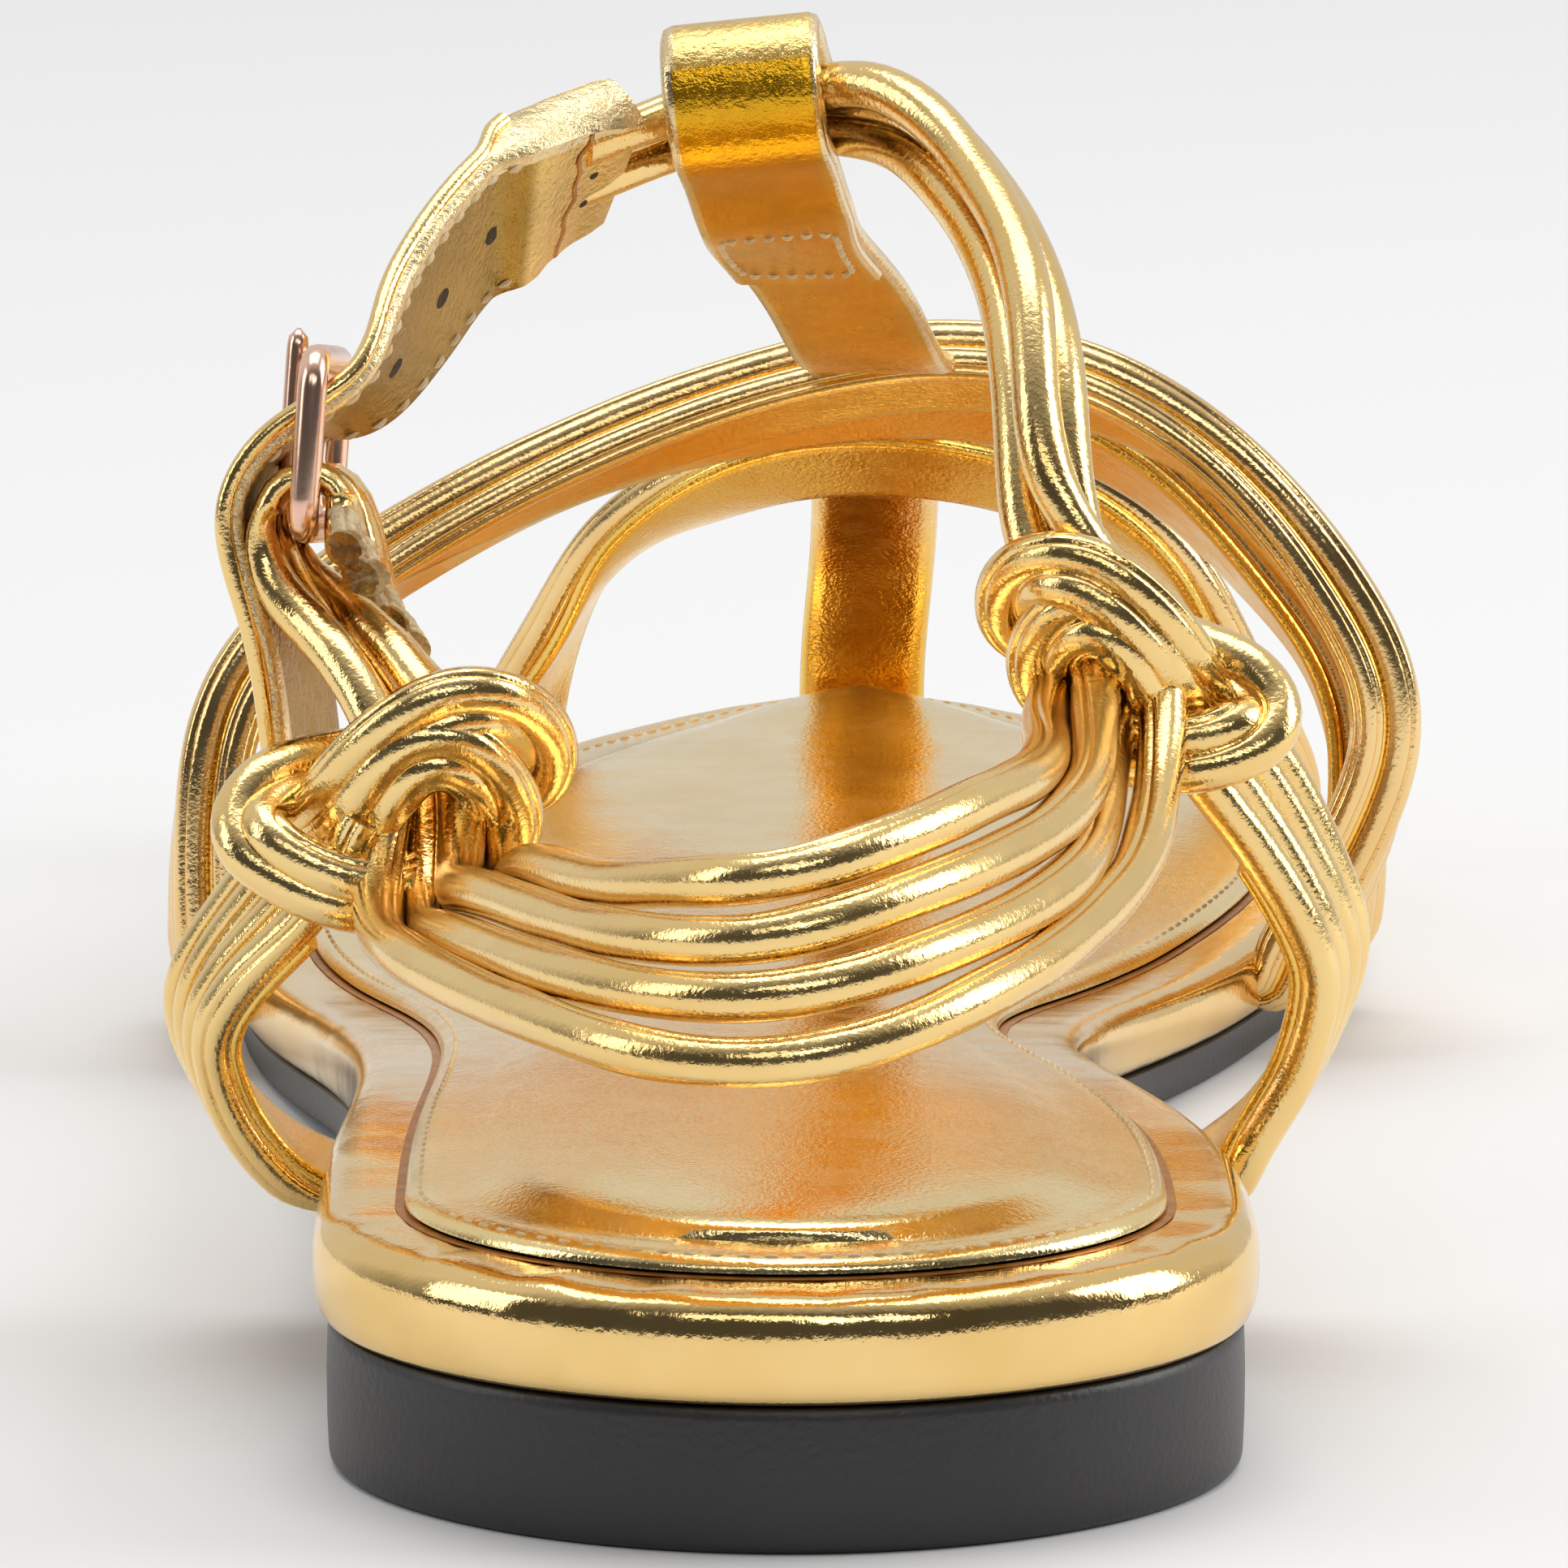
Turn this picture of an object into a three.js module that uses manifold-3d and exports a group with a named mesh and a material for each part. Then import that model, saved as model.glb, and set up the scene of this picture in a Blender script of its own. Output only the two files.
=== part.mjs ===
// Left gladiator sandal with a knotted heel strap.
// Millimetres. The origin is on the floor under the middle of the heel, +Y points to the toe,
// +X to the inner side of the foot and +Z up.
import * as THREE from "three";
import { mergeVertices } from "three/addons/utils/BufferGeometryUtils.js";
import Module from "manifold-3d";

const wasm = await Module();
wasm.setup();

// Sole, seen from above
const soleLength = 245;
const heelWidth = 62;
const waistWidth = 52;
const ballWidth = 84;
const toeWidth = 48;
const heelRound = 27; // length of the round end at the heel
const toeRound = 26; // length of the round end at the toe
const toeDrift = 5; // how far the tip lies to the inner side
const heelCentre = 28; // from the back of the heel to the origin

// Sole, seen from the side
const heelHeight = 9.6; // black wall at the heel
const foreSole = 3.2; // black sole under the ball
const heelLength = 66; // from the back to the breast of the heel
const toeSpring = 1;
const heelBoard = 7; // wrapped footbed at the heel
const foreBoard = 4.8; // wrapped footbed under the ball
const rimStep = 1; // how far the footbed stands out over the black sole
const floorBevel = 0.5; // worn edge of the sole on the floor
const rimRound = 2.4; // rounding of the footbed's upper edge
const sockInset = 6; // from the footbed's edge to the sock
const sockThickness = 1.1;
const sockCrown = 0.5; // padding in the sock's middle
const clearance = 0.3; // between two pieces that meet

// Straps
const instepHeight = 45.6; // top of the vamp bands over the footbed
const ankleHeight = 70; // top of the ankle strap over the footbed
const cordDiameter = 3.3;
const bandWidth = 11;
const bandCord = 3.6; // cord on a vamp band
const lining = 1.2;
const centreWidth = 9.6; // strap from the toe tip over the vamp
const tStrapWidth = 11;
const tStrapThickness = 1.6;
const ankleStrapWidth = 12.4;
const ankleStrapThickness = 1.6;
const foldLength = 9; // folded end of the ankle strap that holds the cords
const heldFlat = 0.6; // share of the cords' thickness inside that fold
const strapTuck = 6; // how far a strap's foot reaches in under the footbed
const outerKnot = 15.6; // size of the knot on the outer side
const innerKnot = 13.2; // size of the knot on the inner side
const wrapPitch = 0.62; // between a wrap's two cords, as a share of their diameter
const sideCord = 3; // cord on a side strap

// Buckle
const buckleWire = 2; // diameter of the frame's wire
const buckleHeight = 11.4; // between the middles of its two bars
const buckleOpening = 15.4; // along the bars
const prongDiameter = 1.5;
const prongGap = 3.6; // between the two pairs of cords at the bar

const halfHeel = heelWidth / 2;
const halfBall = ballWidth / 2;

function table(columns, rows) {
  return rows.map((row) => Object.fromEntries(columns.map((name, i) => [name, row[i]])));
}

function interpolant(rows, columns) {
  const positions = rows.map((row) => row.along);
  const values = rows.flatMap((row) => columns.map((name) => row[name]));
  const curve = new THREE.CubicInterpolant(positions, values, columns.length);
  return (along) => curve.evaluate(THREE.MathUtils.clamp(along, 0, 1));
}

// Outline: along is a share of the length, outer and inner are shares of the width they follow
const outlineRows = table(["along", "outer", "inner", "width"], [
  [0.0, 0.49, 0.49, heelWidth],
  [0.11, 0.498, 0.496, heelWidth],
  [0.2, 0.497, 0.472, heelWidth],
  [0.3, 0.578, 0.46, waistWidth],
  [0.4, 0.605, 0.395, waistWidth],
  [0.49, 0.422, 0.286, ballWidth],
  [0.57, 0.48, 0.378, ballWidth],
  [0.645, 0.507, 0.452, ballWidth],
  [0.705, 0.503, 0.49, ballWidth],
  [0.77, 0.462, 0.495, ballWidth],
  [0.83, 0.386, 0.47, ballWidth],
  [0.885, 0.525, 0.72, toeWidth],
  [0.93, 0.41, 0.6, toeWidth],
  [1.0, 0.28, 0.47, toeWidth],
]);
for (const row of outlineRows) {
  row.outerX = -row.outer * row.width;
  row.innerX = row.inner * row.width;
}
const outlineSides = interpolant(outlineRows, ["outerX", "innerX"]);

// Side view: drop is the share of the heel's rise that is left, spring the share of the toe spring
const profileRows = table(["along", "drop", "spring"], [
  [0.0, 1, 0],
  [0.14, 1, 0],
  [0.24, 0.93, 0],
  [0.33, 0.74, 0],
  [0.4, 0.5, 0],
  [0.47, 0.24, 0],
  [0.53, 0.06, 0],
  [0.58, 0, 0],
  [0.82, 0, 0],
  [0.9, 0, 0.2],
  [1.0, 0, 1],
]);
const profile = interpolant(profileRows, ["drop", "spring"]);
const shareOfLength = (y) => (y + heelCentre) / soleLength;

function soleBottom(y) {
  const [drop, spring] = profile(shareOfLength(y));
  return Math.max(0, (heelHeight - foreSole) * drop) + Math.max(0, toeSpring * spring);
}

const soleTop = (y) => soleBottom(y) + foreSole;
const boardBottom = (y) => soleTop(y) + clearance;

function boardTop(y) {
  const [drop] = profile(shareOfLength(y));
  return boardBottom(y) + foreBoard + (heelBoard - foreBoard) * Math.max(0, drop);
}

// Point of the outline at a share of the length, on the outer (-1) or the inner (1) side:
// the side's distance shrinks over both ends like a quarter of an ellipse
function outlinePoint(along, side) {
  const values = outlineSides(along);
  const heelShare = Math.min(1, (along * soleLength) / heelRound);
  const toeShare = Math.min(1, ((1 - along) * soleLength) / toeRound);
  const middle = toeShare < 1 ? toeDrift : 0;
  const round = Math.sqrt(1 - (1 - heelShare) ** 2) * Math.sqrt(1 - (1 - toeShare) ** 2);
  const edge = side < 0 ? values[0] : values[1];
  return new THREE.Vector2(middle + (edge - middle) * round, along * soleLength - heelCentre);
}

const stations = 24; // rings of points on each side of the outline

// Closed loop of the outline, moved inwards by inset: heel, outer side, toe, inner side
function outlineLoop(inset) {
  const along = (i) => (1 - Math.cos((Math.PI * i) / stations)) / 2;
  const loop = [];
  for (let i = 0; i <= stations; i++) loop.push(outlinePoint(along(i), -1));
  for (let i = stations - 1; i > 0; i--) loop.push(outlinePoint(along(i), 1));
  return loop.map((point, i) => {
    const before = loop[(i + loop.length - 1) % loop.length];
    const after = loop[(i + 1) % loop.length];
    const tangent = after.clone().sub(before).normalize();
    return new THREE.Vector2(point.x + tangent.y * inset, point.y - tangent.x * inset);
  });
}

// Closed solid from points and triangles, turned to face out
function solid(points, triangles) {
  const geometry = new THREE.BufferGeometry().setFromPoints(points);
  geometry.setIndex(triangles);
  const merged = mergeVertices(geometry, 1e-4);
  const positions = merged.attributes.position.array;
  const index = Array.from(merged.index.array);
  const corner = (k) => new THREE.Vector3().fromArray(positions, 3 * index[k]);
  const kept = [];
  let volume = 0;
  for (let k = 0; k < index.length; k += 3) {
    const [a, b, c] = [index[k], index[k + 1], index[k + 2]];
    if (a === b || b === c || c === a) continue;
    kept.push(a, b, c);
    volume += corner(k).dot(corner(k + 1).cross(corner(k + 2)));
  }
  if (volume < 0) kept.reverse();
  const mesh = new wasm.Mesh({
    numProp: 3,
    vertProperties: new Float32Array(positions),
    triVerts: new Uint32Array(kept),
  });
  return new wasm.Manifold(mesh);
}

// Skin between rings of points with the same count; the ends are closed by the section's own faces
function loft(rings, section) {
  const count = rings[0].length;
  const triangles = [];
  for (let r = 0; r + 1 < rings.length; r++) {
    for (let i = 0; i < count; i++) {
      const a = r * count + i;
      const b = r * count + ((i + 1) % count);
      triangles.push(a, b, b + count, a, b + count, a + count);
    }
  }
  const last = (rings.length - 1) * count;
  const turn = Math.sign(THREE.ShapeUtils.area(section));
  for (const face of THREE.ShapeUtils.triangulateShape(section, [])) {
    const corners = face.map((i) => section[i]);
    const [a, b, c] = Math.sign(THREE.ShapeUtils.area(corners)) === turn ? face : face.toReversed();
    triangles.push(a, c, b, last + a, last + b, last + c);
  }
  return solid(rings.flat(), triangles);
}

// Layer of the sole: outline loops at rising levels, with the two ends closed by strips across.
// A level is an inset and a height function of a place; crown lifts the top's middle.
function layer(levels, crown = 0) {
  const loops = levels.map(({ inset, height }) =>
    outlineLoop(inset).map((p) => new THREE.Vector3(p.x, p.y, height(p.y))),
  );
  const count = loops[0].length;
  const points = loops.flat();
  const triangles = [];
  for (let r = 0; r + 1 < loops.length; r++) {
    for (let i = 0; i < count; i++) {
      const a = r * count + i;
      const b = r * count + ((i + 1) % count);
      triangles.push(a, b, b + count, a, b + count, a + count);
    }
  }
  const strip = (base, flip, lift) => {
    const middle = [];
    for (let i = 0; i <= stations; i++) {
      const left = points[base + i];
      const right = points[base + ((count - i) % count)];
      middle.push(points.length);
      points.push(left.clone().add(right).multiplyScalar(0.5).setZ(left.z + lift * (i % stations ? 1 : 0)));
    }
    for (let i = 0; i < stations; i++) {
      const left = [base + i, base + i + 1];
      const right = [base + ((count - i) % count), base + count - i - 1];
      const quads = [
        [left[0], left[1], middle[i + 1], middle[i]],
        [middle[i], middle[i + 1], right[1], right[0]],
      ];
      for (const [a, b, c, d] of quads) {
        if (flip) triangles.push(a, c, b, a, d, c);
        else triangles.push(a, b, c, a, c, d);
      }
    }
  };
  strip(0, true, 0);
  strip((loops.length - 1) * count, false, crown);
  return solid(points, triangles);
}

// Frame of a curve through a table's rows at a share of its rows: place, direction along, across
// and out, with the columns of the cords carried along
function routeFrame(rows, share) {
  const places = new THREE.CatmullRomCurve3(rows.map((row) => row.place));
  const sides = new THREE.CatmullRomCurve3(rows.map((row) => row.across));
  const at = share * (rows.length - 1);
  const first = Math.min(Math.floor(at), rows.length - 2);
  const carried = (name) => THREE.MathUtils.lerp(rows[first][name], rows[first + 1][name], at - first);
  const tangent = places.getTangent(share);
  const across = sides.getPoint(share);
  across.addScaledVector(tangent, -across.dot(tangent)).normalize();
  return {
    share,
    place: places.getPoint(share),
    tangent,
    across,
    out: new THREE.Vector3().crossVectors(across, tangent).normalize(),
    pitch: carried("pitch"),
    flat: carried("flat"),
    split: carried("split"),
  };
}

// Frames along a route, about one stepLength apart and always one on each row
function sampleRoute(rows, stepLength) {
  const shares = [];
  for (let gap = 0; gap + 1 < rows.length; gap++) {
    const length = rows[gap].place.distanceTo(rows[gap + 1].place);
    const steps = Math.max(1, Math.round(length / stepLength));
    for (let i = 0; i < steps; i++) shares.push((gap + i / steps) / (rows.length - 1));
  }
  return [...shares, 1].map((share) => routeFrame(rows, share));
}

// Solid of a section carried along a sampled route; height scales the section away from the route
function sweep(samples, section, height = () => 1) {
  const rings = samples.map((sample) =>
    section.map((p) =>
      sample.place
        .clone()
        .addScaledVector(sample.across, p.x)
        .addScaledVector(sample.out, p.y * height(sample.share)),
    ),
  );
  return loft(rings, section);
}

const rectangle = (width, low, high) => [
  new THREE.Vector2(-width / 2, low),
  new THREE.Vector2(width / 2, low),
  new THREE.Vector2(width / 2, high),
  new THREE.Vector2(-width / 2, high),
];

function ringSection(radius, sides) {
  return Array.from({ length: sides }, (_, i) => {
    const angle = ((i + 0.5) / sides) * 2 * Math.PI;
    return new THREE.Vector2(radius * Math.cos(angle), radius * Math.sin(angle));
  });
}

const joined = (solids) => solids.reduce((all, next) => all.add(next));

// Outer body alone: tiny hollows closed in between pressed cords are filled
function mainBody(shape) {
  return shape.decompose().reduce((largest, next) => (next.volume() > largest.volume() ? next : largest));
}

// Parallel cords along a route: pitch spaces them in cord diameters, split parts the two pairs,
// and flat is the share of a cord's thickness that is left
function cordBundle(samples, count, diameter = cordDiameter) {
  const sides = 6;
  const section = ringSection(diameter / 2, sides);
  return Array.from({ length: count }, (_, cord) => {
    const rank = cord - (count - 1) / 2;
    const rings = samples.map((sample) => {
      const offset = rank * sample.pitch * cordDiameter + (Math.sign(rank) * sample.split) / 2;
      return section.map((p) =>
        sample.place
          .clone()
          .addScaledVector(sample.across, offset + p.x)
          .addScaledVector(sample.out, p.y * sample.flat),
      );
    });
    return loft(rings, section);
  });
}

function row(place, across, pitch = 1, flat = 1, split = 0) {
  return { place, across, pitch, flat, split };
}

// Place from shares: x of a half width, along of the sole's length, rise of a height over the footbed
function placed(x, along, rise, halfWidth, height) {
  const y = along * soleLength - heelCentre;
  return new THREE.Vector3(x * halfWidth, y, boardTop(y) + rise * height);
}

const yAt = (along) => along * soleLength - heelCentre;

const wallGap = 0.6; // between the footbed's rim and a strap's lining
const footSlack = 0.4; // over a strap's foot in its room under the footbed
const loopSlack = 0.9; // between the T-strap's loop and the cords, over the clearance
const cordShow = 0.72; // share of a cord's thickness that stands over the lining
const tuckThin = 0.4; // share of a strap's cords that is left where it is tucked in
const tuckLift = 2 * clearance + tuckThin * bandCord * cordShow;
const strapStandOff = lining + wallGap; // from the footbed's rim to the top of a strap's lining

// Foot of a strap on the sole's edge: tucked under the footbed, out past the rim and up.
// The three rows are listed from inside to outside; turn faces the cords away from the foot.
function strapFoot(along, side, turn) {
  const wall = strapStandOff;
  const edge = outlinePoint(along, side);
  const ahead = outlinePoint(along + 0.01, side);
  const behind = outlinePoint(along - 0.01, side);
  const forward = ahead.sub(behind).normalize();
  const outward = new THREE.Vector2(forward.y, -forward.x).multiplyScalar(side);
  const across = new THREE.Vector3(forward.x, forward.y, 0).multiplyScalar(turn);
  const seam = soleTop(edge.y) + tuckLift;
  const at = (reach, z) => new THREE.Vector3(edge.x + outward.x * reach, edge.y + outward.y * reach, z);
  return [
    row(at(-strapTuck, seam), across),
    row(at(wall * 0.25, seam + 0.2), across),
    row(at(wall, boardTop(edge.y) - 1), across),
  ];
}

// Section of a strap: cords side by side on a flat lining
function cordedSection(count, width, cord) {
  const pitch = width / count;
  const half = width / 2;
  const high = cord * cordShow;
  const shoulder = pitch * 0.28;
  const points = [new THREE.Vector2(-half, -lining), new THREE.Vector2(half, -lining)];
  points.push(new THREE.Vector2(half, high * 0.35));
  for (let i = 0; i < count; i++) {
    const middle = half - pitch * (i + 0.5);
    points.push(new THREE.Vector2(middle + shoulder, high), new THREE.Vector2(middle - shoulder, high));
    if (i + 1 < count) points.push(new THREE.Vector2(middle - pitch / 2, high * 0.3));
  }
  points.push(new THREE.Vector2(-half, high * 0.35));
  return points;
}

// Vamp bands over the foot. x is a share of half the ball width, rise of the instep height,
// and dip is how far the band's front edge leans down.
const archColumns = ["x", "along", "rise", "dip"];
const bands = [
  {
    feet: [0.598, 0.622],
    rows: table(archColumns, [
      [-1.01, 0.604, 0.34, 0.1],
      [-0.88, 0.612, 0.53, 0.25],
      [-0.57, 0.622, 0.7, 0.45],
      [-0.19, 0.631, 0.84, 0.58],
      [0.19, 0.634, 0.92, 0.6],
      [0.48, 0.632, 0.9, 0.55],
      [0.75, 0.628, 0.77, 0.4],
      [0.96, 0.624, 0.56, 0.2],
      [1.035, 0.622, 0.31, 0.08],
    ]),
  },
  {
    feet: [0.64, 0.66],
    rows: table(archColumns, [
      [-0.97, 0.648, 0.33, 0.1],
      [-0.77, 0.666, 0.52, 0.3],
      [-0.42, 0.684, 0.7, 0.45],
      [-0.05, 0.694, 0.79, 0.5],
      [0.29, 0.696, 0.81, 0.5],
      [0.6, 0.688, 0.72, 0.45],
      [0.84, 0.676, 0.52, 0.3],
      [0.97, 0.666, 0.31, 0.1],
    ]),
  },
  {
    feet: [0.912, 0.876],
    rows: table(archColumns, [
      [-0.43, 0.892, 0.27, 0.2],
      [-0.26, 0.862, 0.46, 0.4],
      [-0.05, 0.838, 0.57, 0.55],
      [0.17, 0.827, 0.6, 0.6],
      [0.43, 0.831, 0.55, 0.55],
      [0.66, 0.845, 0.41, 0.4],
      [0.8, 0.86, 0.22, 0.2],
    ]),
  },
];

function bandRoute({ feet, rows }) {
  const [outerFoot, innerFoot] = [strapFoot(feet[0], -1, -1), strapFoot(feet[1], 1, -1)];
  const arch = rows.map(({ x, along, rise, dip }) =>
    row(placed(x, along, rise, halfBall, instepHeight), new THREE.Vector3(0, -1, dip)),
  );
  return sampleRoute([...outerFoot, ...arch, ...innerFoot.reverse()], 8.5);
}

// Centre strap: out at the toe tip, back over the toe band and the front band
const centreRows = table(["x", "along", "rise"], [
  [0.12, 1.004, 0.04],
  [0.135, 0.98, 0.24],
  [0.143, 0.93, 0.43],
  [0.145, 0.872, 0.58],
  [0.147, 0.824, 0.675],
  [0.148, 0.76, 0.74],
  [0.148, 0.697, 0.84],
  [0.148, 0.65, 0.87],
]);

function centreRoute() {
  const across = new THREE.Vector3(-1, 0, 0);
  const tip = outlinePoint(1, 1);
  const seam = soleTop(tip.y) + tuckLift;
  const start = [
    row(new THREE.Vector3(tip.x, tip.y - strapTuck, seam), across),
    row(new THREE.Vector3(tip.x, tip.y + strapStandOff * 0.7, seam + 0.4), across),
  ];
  const arch = centreRows.map(({ x, along, rise }) =>
    row(placed(x, along, rise, halfBall, instepHeight), across),
  );
  return sampleRoute([...start, ...arch], 7);
}

// Knots: one route for both, mirrored. out is away from the foot, ahead to the toe, up is up,
// all shares of the knot's size; the last three columns are the direction across the cords.
const knotColumns = ["out", "ahead", "up", "i", "j", "k"];
const upperWrapRows = table(knotColumns, [
  [0.42, 0.05, -0.2, 0.8, 0, 0.6],
  [0.3, -0.14, -0.01, 0.8, 0, 0.6],
  [0.17, -0.26, 0.16, 0.7, 0, 0.7],
  [0.0, -0.32, 0.3, 0.4, 0, 0.9],
  [-0.17, -0.3, 0.375, 0.15, 0, 1],
  [-0.33, -0.22, 0.36, -0.25, 0, 0.95],
  [-0.45, -0.08, 0.28, -0.75, 0, 0.66],
  [-0.52, 0.08, 0.15, -1, 0, 0.1],
  [-0.5, 0.24, 0.0, -0.8, 0, -0.6],
  [-0.38, 0.36, -0.06, -0.3, 0, -0.95],
  [-0.15, 0.42, -0.04, 0, 0, -1],
  [0.15, 0.36, 0.0, 0, 0, -1],
  [0.42, 0.2, -0.01, -0.3, 0, -0.95],
  [0.6, 0.04, -0.04, -0.7, 0, -0.7],
  [0.7, -0.1, -0.13, -1, 0, 0],
  [0.68, -0.22, -0.22, -0.85, 0, 0.5],
  [0.55, -0.3, -0.31, -0.5, 0, 0.87],
  [0.36, -0.32, -0.4, -0.33, 0, 0.94],
  [0.13, -0.24, -0.45, -0.2, 0, 0.98],
  [-0.05, -0.04, -0.42, 0, 0, 1],
]);
const lowerWrapRows = table(knotColumns, [
  [0.38, 0.02, -0.32, 0.8, 0, 0.6],
  [0.27, -0.12, -0.19, 0.8, 0, 0.6],
  [0.15, -0.24, -0.01, 0.75, 0, 0.65],
  [0.02, -0.3, 0.14, 0.4, 0, 0.9],
  [-0.12, -0.3, 0.18, -0.1, 0, 1],
  [-0.26, -0.24, 0.11, -0.68, 0, 0.73],
  [-0.355, -0.12, -0.04, -0.94, 0, 0.34],
  [-0.37, 0.02, -0.19, -0.98, 0, -0.2],
  [-0.3, 0.16, -0.31, -0.56, 0, -0.83],
  [-0.15, 0.24, -0.34, 0, 0, -1],
  [0.08, 0.2, -0.32, 0.1, 0, -1],
  [0.26, 0.08, -0.3, 0, 0, -1],
]);

// Side straps: x is a share of half the heel, rise of the ankle height, turn of the strap to the back
const sideStrapColumns = ["x", "along", "rise", "turn"];

// Lean lowers a knot's outer side by a share of the distance from its centre
const knots = [
  {
    side: -1,
    size: outerKnot,
    centre: placed(-0.8, 0.212, 0.335, halfHeel, ankleHeight),
    lean: 0,
    foot: 0.25,
    strapRows: table(sideStrapColumns, [
      [-1.15, 0.247, -0.03, 0.1],
      [-1.235, 0.243, 0.03, 0.18],
      [-1.26, 0.238, 0.085, 0.25],
      [-1.22, 0.233, 0.135, 0.32],
      [-1.13, 0.227, 0.19, 0.4],
      [-1.05, 0.221, 0.24, 0.44],
      [-0.99, 0.216, 0.295, 0.48],
      [-0.95, 0.214, 0.33, 0.5],
    ]),
  },
  {
    side: 1,
    size: innerKnot,
    centre: placed(0.71, 0.212, 0.464, halfHeel, ankleHeight),
    lean: 0.22,
    foot: 0.245,
    strapRows: table(sideStrapColumns, [
      [1.0, 0.244, -0.025, 0.1],
      [1.085, 0.243, 0.035, 0.16],
      [1.14, 0.24, 0.095, 0.2],
      [1.16, 0.237, 0.15, 0.26],
      [1.12, 0.233, 0.21, 0.32],
      [1.035, 0.229, 0.283, 0.4],
      [0.945, 0.224, 0.345, 0.45],
      [0.87, 0.22, 0.395, 0.5],
    ]),
  },
];

// Point of a knot from shares of its size, mirrored to its side
function knotPoint({ side, size, centre, lean }, out, ahead, up) {
  return centre.clone().add(new THREE.Vector3(side * out, ahead, up - lean * out).multiplyScalar(size));
}

function knotRoute(rows, knot) {
  const route = rows.map(({ out, ahead, up, i, j, k }) =>
    row(knotPoint(knot, out, ahead, up), new THREE.Vector3(knot.side * i, j, k), wrapPitch),
  );
  return sampleRoute(route, 4);
}

// Side strap: four cords on a lining, bowed out from under the footbed and up into the knot's loop
function sideStrapRoute(knot) {
  const foot = strapFoot(knot.foot, knot.side, knot.side).slice(0, 2);
  const rise = knot.strapRows.map(({ x, along, rise: up, turn }) =>
    row(
      placed(x, along, up, halfHeel, ankleHeight),
      new THREE.Vector3(turn, knot.side * Math.sqrt(1 - turn ** 2), 0),
    ),
  );
  return sampleRoute([...foot, ...rise], 5);
}

// Heel and ankle cords: one bundle of four from the buckle's bar through both knots and
// the loop into the ankle strap. x is a share of half the heel, rise of the ankle height.
const bundleColumns = ["x", "along", "rise", "i", "j", "k", "pitch", "flat", "split"];
const bundleRows = table(bundleColumns, [
  [-0.9, 0.25, 0.49, 0.15, 0.95, -0.2, 0.85, 0.7, 1.6],
  [-0.93, 0.268, 0.54, 0.1, 0.97, -0.2, 0.85, 0.6, prongGap],
  [-0.975, 0.274, 0.59, 0.06, 0.98, -0.17, 0.85, 0.6, prongGap],
  [-1.055, 0.274, 0.598, 0.06, 0.98, -0.17, 0.85, 0.6, prongGap],
  [-1.115, 0.273, 0.565, 0.06, 0.98, -0.17, 0.85, 0.6, prongGap],
  [-1.07, 0.266, 0.51, 0.2, 0.95, -0.1, 0.82, 0.8, 1.6],
  [-0.96, 0.25, 0.46, 0.6, 0.8, 0, 0.75, 1, 0],
  [-0.85, 0.232, 0.41, 0.85, 0.4, 0, 0.65, 1, 0],
  [-0.76, 0.217, 0.35, 1, 0.1, 0, 0.66, 1, 0],
  [-0.74, 0.206, 0.285, 1, 0, 0.1, 0.75, 1, 0],
  [-0.735, 0.183, 0.24, 0.95, 0, 0.35, 0.85, 1, 0],
  [-0.69, 0.137, 0.256, 0.78, -0.15, 0.57, 0.92, 1, 0],
  [-0.5, 0.073, 0.277, 0.68, 0, 0.72, 1.05, 1, 0],
  [-0.27, 0.024, 0.292, 0.4, 0.25, 0.86, 1.12, 1, 0],
  [-0.02, 0.007, 0.303, 0.1, 0.35, 0.93, 1.16, 1, 0],
  [0.23, 0.021, 0.322, -0.05, 0.42, 0.88, 1.16, 1, 0],
  [0.46, 0.062, 0.338, -0.2, 0.42, 0.86, 1.1, 1, 0],
  [0.62, 0.124, 0.354, -0.4, 0.3, 0.8, 0.98, 1, 0],
  [0.67, 0.183, 0.392, -0.75, 0.1, 0.55, 0.75, 1, 0],
  [0.67, 0.212, 0.455, -1, 0, 0.15, 0.62, 1, 0],
  [0.6, 0.222, 0.525, -0.9, 0.4, 0, 0.62, 1, 0],
  [0.55, 0.233, 0.61, -0.4, 0.87, -0.15, 0.68, 1, 0],
  [0.525, 0.262, 0.735, -0.25, 0.9, -0.3, 0.75, 1, 0],
  [0.42, 0.312, 0.85, -0.2, 0.85, -0.45, 0.8, 1, 0],
  [0.25, 0.347, 0.925, -0.1, 0.84, -0.54, 0.9, 1, 0],
  [0.08, 0.368, 0.938, 0, 0.86, -0.5, 0.92, 1, 0],
  [-0.085, 0.373, 0.938, 0, 0.86, -0.5, 0.92, 1, 0],
  [-0.29, 0.371, 0.915, 0.05, 0.84, -0.54, 0.86, 0.75, 0],
  [-0.5, 0.357, 0.877, 0.18, 0.83, -0.52, 0.82, heldFlat, 0],
]);

const bundleRoute = bundleRows.map(({ x, along, rise, i, j, k, pitch, flat, split }) =>
  row(placed(x, along, rise, halfHeel, ankleHeight), new THREE.Vector3(i, j, k), pitch, flat, split),
);
const bundleSamples = sampleRoute(bundleRoute, 8);
const loopRow = bundleRows.length - 3; // row of the bundle that lies in the T-strap's loop
const loopFrame = routeFrame(bundleRoute, loopRow / (bundleRows.length - 1));

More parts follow.
